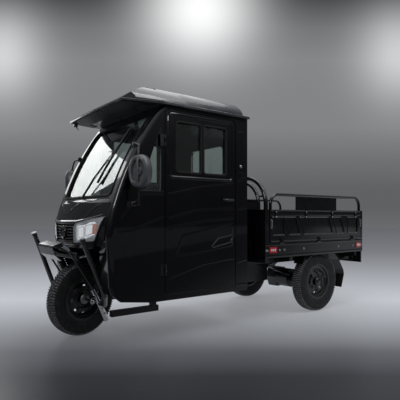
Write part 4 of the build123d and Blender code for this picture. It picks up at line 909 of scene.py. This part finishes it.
# Drop sides: pressed outlines, rolled edges, rail clamps, latches and their bolts, and the sill below
# Panels by start and end from the bed's front, and how far their upper edge slants forward
PANELS = ((90, 240, 0), (300, 450, 60), (500, 930, 60), (990, 1120, 60), (1170, 1340, 0))
PANEL_FOOT = 742
PANEL_TOP = 900
EDGE_LEVELS = (690, 958)
CLAMPS = (1532, 1930, 2318, 2700)
SILL_BOLTS = (1416, 1430, 1580, 1640, 1900, 2420, 2660, 2810)
for name, side in SIDES:
    face = on_side(side, BED_HALF)
    board = Piece(f"board_pressings_{name}")
    for low, high, slant in PANELS:
        low, high = BED_FRONT + low, BED_FRONT + high
        outline = [(low, PANEL_FOOT), (high, PANEL_FOOT), (high - slant, PANEL_TOP), (low - slant, PANEL_TOP)]
        board.bead(soft(outline, 12), face, PANEL, board_enamel, closed=True)
    for level, profile in ((EDGE_LEVELS[0], EDGE), (EDGE_LEVELS[1], EDGE), (922, RIDGE)):
        board.bead([(1466, level), (2792, level)], face, profile, board_enamel)
    for place in CLAMPS:
        board.sheet(oblong(place - 13, place + 13, 884, 962, 5), face, -1, 5.5, board_enamel)
    board.seat(f"side_board_{name}")
    bolts(f"rail_clamp_bolts_{name}",
          [((side * (BED_HALF + 5.5), place, level), (side, 0, 0)) for place in CLAMPS for level in (900, 944)],
          f"side_board_{name}", 6.5, 5)
    latch = Piece(f"board_latches_{name}")
    for place in (1474, 2786):
        latch.sheet(oblong(place - 10, place + 10, 800, 880, 5), face, -1, 5, zinc_plate)
        latch.pipe([face(place, 808, 9), face(place, 850, 12), face(place, 874, 9)], 4.5, zinc_plate, corner=8)
    latch.seat(f"side_board_{name}")
    sill = Piece(f"sill_trim_{name}")
    for level in (560, 660):
        sill.bead([(1404, level), (2826, level)], face, RIDGE, board_enamel)
    for y, half in ((1494, 39), (2753, 32)):
        sill.sheet(oblong(y - half, y + half, 592, 636, 5), face, 5, 6.5, red_prisms)
        for place in (y - 22, y, y + 22):
            sill.sheet([(place - 8, 604), (place + 8, 604), (place + 8, 624), (place - 8, 624)], face, 6, 7.2,
                       white_prisms)
    sill.seat("chassis")
    bolts(f"sill_bolts_{name}", [((side * BED_HALF, place, 610), (side, 0, 0)) for place in SILL_BOLTS],
          "chassis", 7, 5)

# Seat: crowned cushion and backrest, drawn in at the corners, with sewn channels and piping

def pad(name, centre, half, lean=0.0):
    """A stuffed form along the bench; its two channels part it into three."""
    piece = Piece(name)
    flat, upright = half[2] < half[1], half[1] < half[2]
    rings = []
    stops = {round(-1 + k / 24, 4) for k in range(49)} | {s * (1 / 3 + d) for s in (1, -1) for d in (-0.02, 0.02)}
    for share in sorted(stops):
        end = (1 - min(abs(share), 0.995) ** 7) ** 0.3
        seam = 1 - 0.09 * sum(2.718 ** (-((share - place) / 0.022) ** 2) for place in (-1 / 3, 1 / 3))
        crowned = 1 + 0.1 * (1 - (3 * abs(abs(share) - 2 / 3) if abs(share) > 1 / 3 else 3 * abs(share)) ** 2)
        ring = []
        for k in range(36):
            t = 2 * pi * k / 36
            y = half[1] * squarish(cos(t), 0.62) * (0.82 + 0.18 * end) * (seam if upright else 1)
            z = half[2] * squarish(sin(t), 0.62) * (0.6 + 0.4 * end) * seam
            if flat and sin(t) > 0:
                z *= crowned * (1 - 0.05 * cos(4 * pi * y / half[1]))
            if upright and cos(t) < 0:
                y *= crowned
            ring.append((centre[0] + share * half[0], centre[1] + y + lean * z, centre[2] + z))
        rings.append(ring)
    piece.loft(rings, seat_vinyl)
    for index in (1, len(rings) - 2):
        piece.pipe(rings[index], 3.0, stitch_thread, sides=6, closed=True)
    made = piece.seat("chassis", ("driver_seat",), angle=60)


pad("seat_cushion", (0.0, 868.0, 688.0), (392.0, 196.0, 42.0))
pad("seat_backrest", (0.0, 1112.0, 928.0), (388.0, 38.0, 206.0), 0.06)

# Handlebar: grips, collars, levers and the meter
bar = Piece("handlebar_fittings")
for side in (1, -1):
    bar.pipe([(side * 215, 302, 1028), (side * 322, 332, 1016)], 16, seal_rubber, sides=16)
    bar.pipe([(side * 196, 290, 1030), (side * 212, 298, 1029)], 20, black_abs, sides=16)
    bar.pipe([(side * 200, 262, 1030), (side * 300, 276, 1016), (side * 330, 292, 1010)], 4, cast_alloy, corner=20)
bar.brick((-62, 196, 1036), (62, 262, 1076), black_abs, 10)
bar.disc([(0, 40), (5, 40), (5, 34), (3, 33), (3, 2)], (0, 238, 1076), (0, 0.25, 1), black_abs, 32)
bar.seat("steering", (), STEERED)

# Tail: stepped lamps, plate lamp, tailgate lines and bolts
tail = Piece("tail_details")
for side in (1, -1):
    for low, high, y0, y1, z0, z1, finish, bevel in ((368, 402, 2824, 2829, 466, 516, white_prisms, 2),
                                                     (405, 476, 2824, 2829, 466, 516, red_prisms, 2),
                                                     (479, 512, 2824, 2829, 466, 516, amber_acrylic, 2),
                                                     (20, 60, 2812, 2830, 528, 544, black_abs, 3)):
        near, far = sorted((side * low, side * high))
        tail.brick((near, y0, z0), (far, y1, z1), finish, bevel)
tail.seat("chassis")
gate = Piece("tailgate_pressings")
for low, high in ((-500, -190), (-150, 150), (190, 500)):
    gate.bead(oblong(low, high, PANEL_FOOT, PANEL_TOP, 14), on_gate, PANEL, board_enamel, closed=True)
for level in EDGE_LEVELS:
    gate.bead([(-552, level), (552, level)], on_gate, EDGE, board_enamel)
gate.seat("tailgate")
bolts("tail_bolts", [((x, 2812, z), (0, 1, 0)) for x in (-540, -300, -170, 170, 300, 540) for z in (446, 534)],
      "chassis", 6.5, 5)

# Under the visor and round the roof
VISOR_LINING = ((-478, 98), (-240, 90), (0, 87), (240, 90), (478, 98), (540, 330), (470, 330), (440, 250),
                (-440, 250), (-470, 330), (-540, 330))
roof_trim = Piece("roof_trim")
for side in (1, -1):
    roof_trim.pipe([(side * 484, 92, 1718), (side * 562, 386, 1722), (side * 564, 1206, 1722)], 5, roof_gelcoat_painted_sheen,
                   corner=40)
roof_trim.loft([[(x, y, z) for x, y in VISOR_LINING] for z in (1703, 1707.6)], black_abs)
roof_trim.brick((-462, 108, 1672), (-438, 140, 1704), zinc_plate, 3)
roof_trim.pipe([(-450, 124, 1676), (-446, 150, 1650)], 4, zinc_plate, sides=8)
roof_trim.seat("chassis")

# Floor, backdrop and lamps: a dim hall, with three cones of light from above painted on its backdrop
FLOOR_GLOW = 0.55
HALL_LIGHT = 0.8


def glow_at(tree, window, centre, size, strength):
    """A soft round glow at a place of the picture."""
    shifted = calc(tree, "SUBTRACT", window, (*centre, 0.0), "VectorMath")
    scaled = calc(tree, "MULTIPLY", shifted, (1 / size[0], 1 / size[1], 0.0), "VectorMath")
    square = put(tree, "ShaderNodeVectorMath", {0: scaled, 1: scaled}, operation="DOT_PRODUCT").outputs["Value"]
    bell = calc(tree, "POWER", 2.71828, calc(tree, "MULTIPLY", square, -1.0))
    return calc(tree, "MULTIPLY", bell, strength)


def make_stage():
    """The polished floor, with painted light and shade in its colour and its glow: a bright band behind the vehicle,
    darker towards the camera; and the hall with three painted cones of light.
    """
    finish, tree, shader = new_finish("floor_paint", "202022", 0.3)
    window = put(tree, "ShaderNodeTexCoord").outputs["Window"]
    height = put(tree, "ShaderNodeSeparateXYZ", {"Vector": window}).outputs["Y"]
    shine = ramp_of(tree, height, ((0.0, "242528"), (0.06, "2C2D30"), (0.12, "505155"), (0.18, "86888C"),
                                   (0.25, "B6B8BC"), (0.31, "9C9EA2"), (0.37, "78797D"), (0.43, "5C5D61")))
    tree.links.new(shine, shader.inputs["Base Color"])
    tree.links.new(shine, shader.inputs["Emission Color"])
    shader.inputs["Emission Strength"].default_value = FLOOR_GLOW
    data = bpy.data.meshes.new("hall_floor")
    data.from_pydata([(-30, -30, 0), (30, -30, 0), (30, 30, 0), (-30, 30, 0)], [], [(0, 1, 2, 3)])
    data.materials.append(finish)
    linked("hall_floor", data)

    world = bpy.data.worlds.new("hall")
    world.use_nodes = True
    bpy.context.scene.world = world
    tree = world.node_tree
    hall = tree.nodes["Background"]
    places = put(tree, "ShaderNodeTexCoord").outputs
    level = put(tree, "ShaderNodeSeparateXYZ", {"Vector": places["Generated"]}).outputs["Z"]
    around = ramp_of(tree, level, ((0.0, "3C3D40"), (0.12, "48494D"), (0.3, "6A6C71"), (0.6, "C4C8CF"),
                                   (1.0, "F0F3F8")))
    tree.links.new(around, hall.inputs["Color"])
    hall.inputs["Strength"].default_value = HALL_LIGHT
    # What the camera sees behind the vehicle: a backdrop with its light and shade painted in by height, and the
    # painted cones
    window = places["Window"]
    height = put(tree, "ShaderNodeSeparateXYZ", {"Vector": window}).outputs["Y"]
    wall = ramp_of(tree, height, ((0.36, "88898B"), (0.43, "6A6B6D"), (0.48, "606163"), (0.53, "616264"),
                                  (0.6, "707173"), (0.68, "828385"), (0.85, "848587"), (0.93, "727375"),
                                  (1.0, "4A4B4D")))
    middle, left, right = (glow_at(tree, window, *cone) for cone in (
        ((0.5, 0.99), (0.13, 0.13), 0.92), ((0.0, 0.87), (0.1, 0.115), 0.43), ((1.0, 0.87), (0.1, 0.115), 0.4)))
    whole = calc(tree, "ADD", calc(tree, "ADD", middle, left), right)
    lit = calc(tree, "ADD", wall, whole, "VectorMath")
    seen = put(tree, "ShaderNodeBackground", {"Color": lit, "Strength": 1.0})
    path = put(tree, "ShaderNodeLightPath").outputs
    shown = calc(tree, "MAXIMUM", path["Is Camera Ray"], path["Is Transmission Ray"])
    mixed = put(tree, "ShaderNodeMixShader", {0: shown, 1: hall.outputs[0], 2: seen.outputs[0]})
    tree.links.new(mixed.outputs[0], tree.nodes["World Output"].inputs["Surface"])


make_stage()


def lamp(name, place, target, size, watts):
    """A soft rectangular lamp aimed at a point, in metres."""
    data = bpy.data.lights.new(name, "AREA")
    data.shape = "RECTANGLE"
    data.size, data.size_y = size
    data.energy = watts
    obj = linked(name, data)
    obj.location = place
    obj.rotation_euler = (Vector(target) - Vector(place)).to_track_quat("-Z", "Y").to_euler()


lamp("overhead_softbox", (0.3, 0.2, 4.2), (0.0, 0.2, 0.8), (3.0, 4.0), 60.0)
lamp("front_left_softbox", (2.4, -4.6, 3.4), (0.0, -0.8, 0.8), (1.2, 1.6), 55.0)
lamp("side_softbox", (4.0, 1.6, 4.8), (0.0, 0.4, 0.8), (1.0, 3.4), 60.0)
lamp("far_side_softbox", (-5.0, -1.6, 3.1), (0.0, -1.0, 1.3), (2.2, 1.5), 26.0)
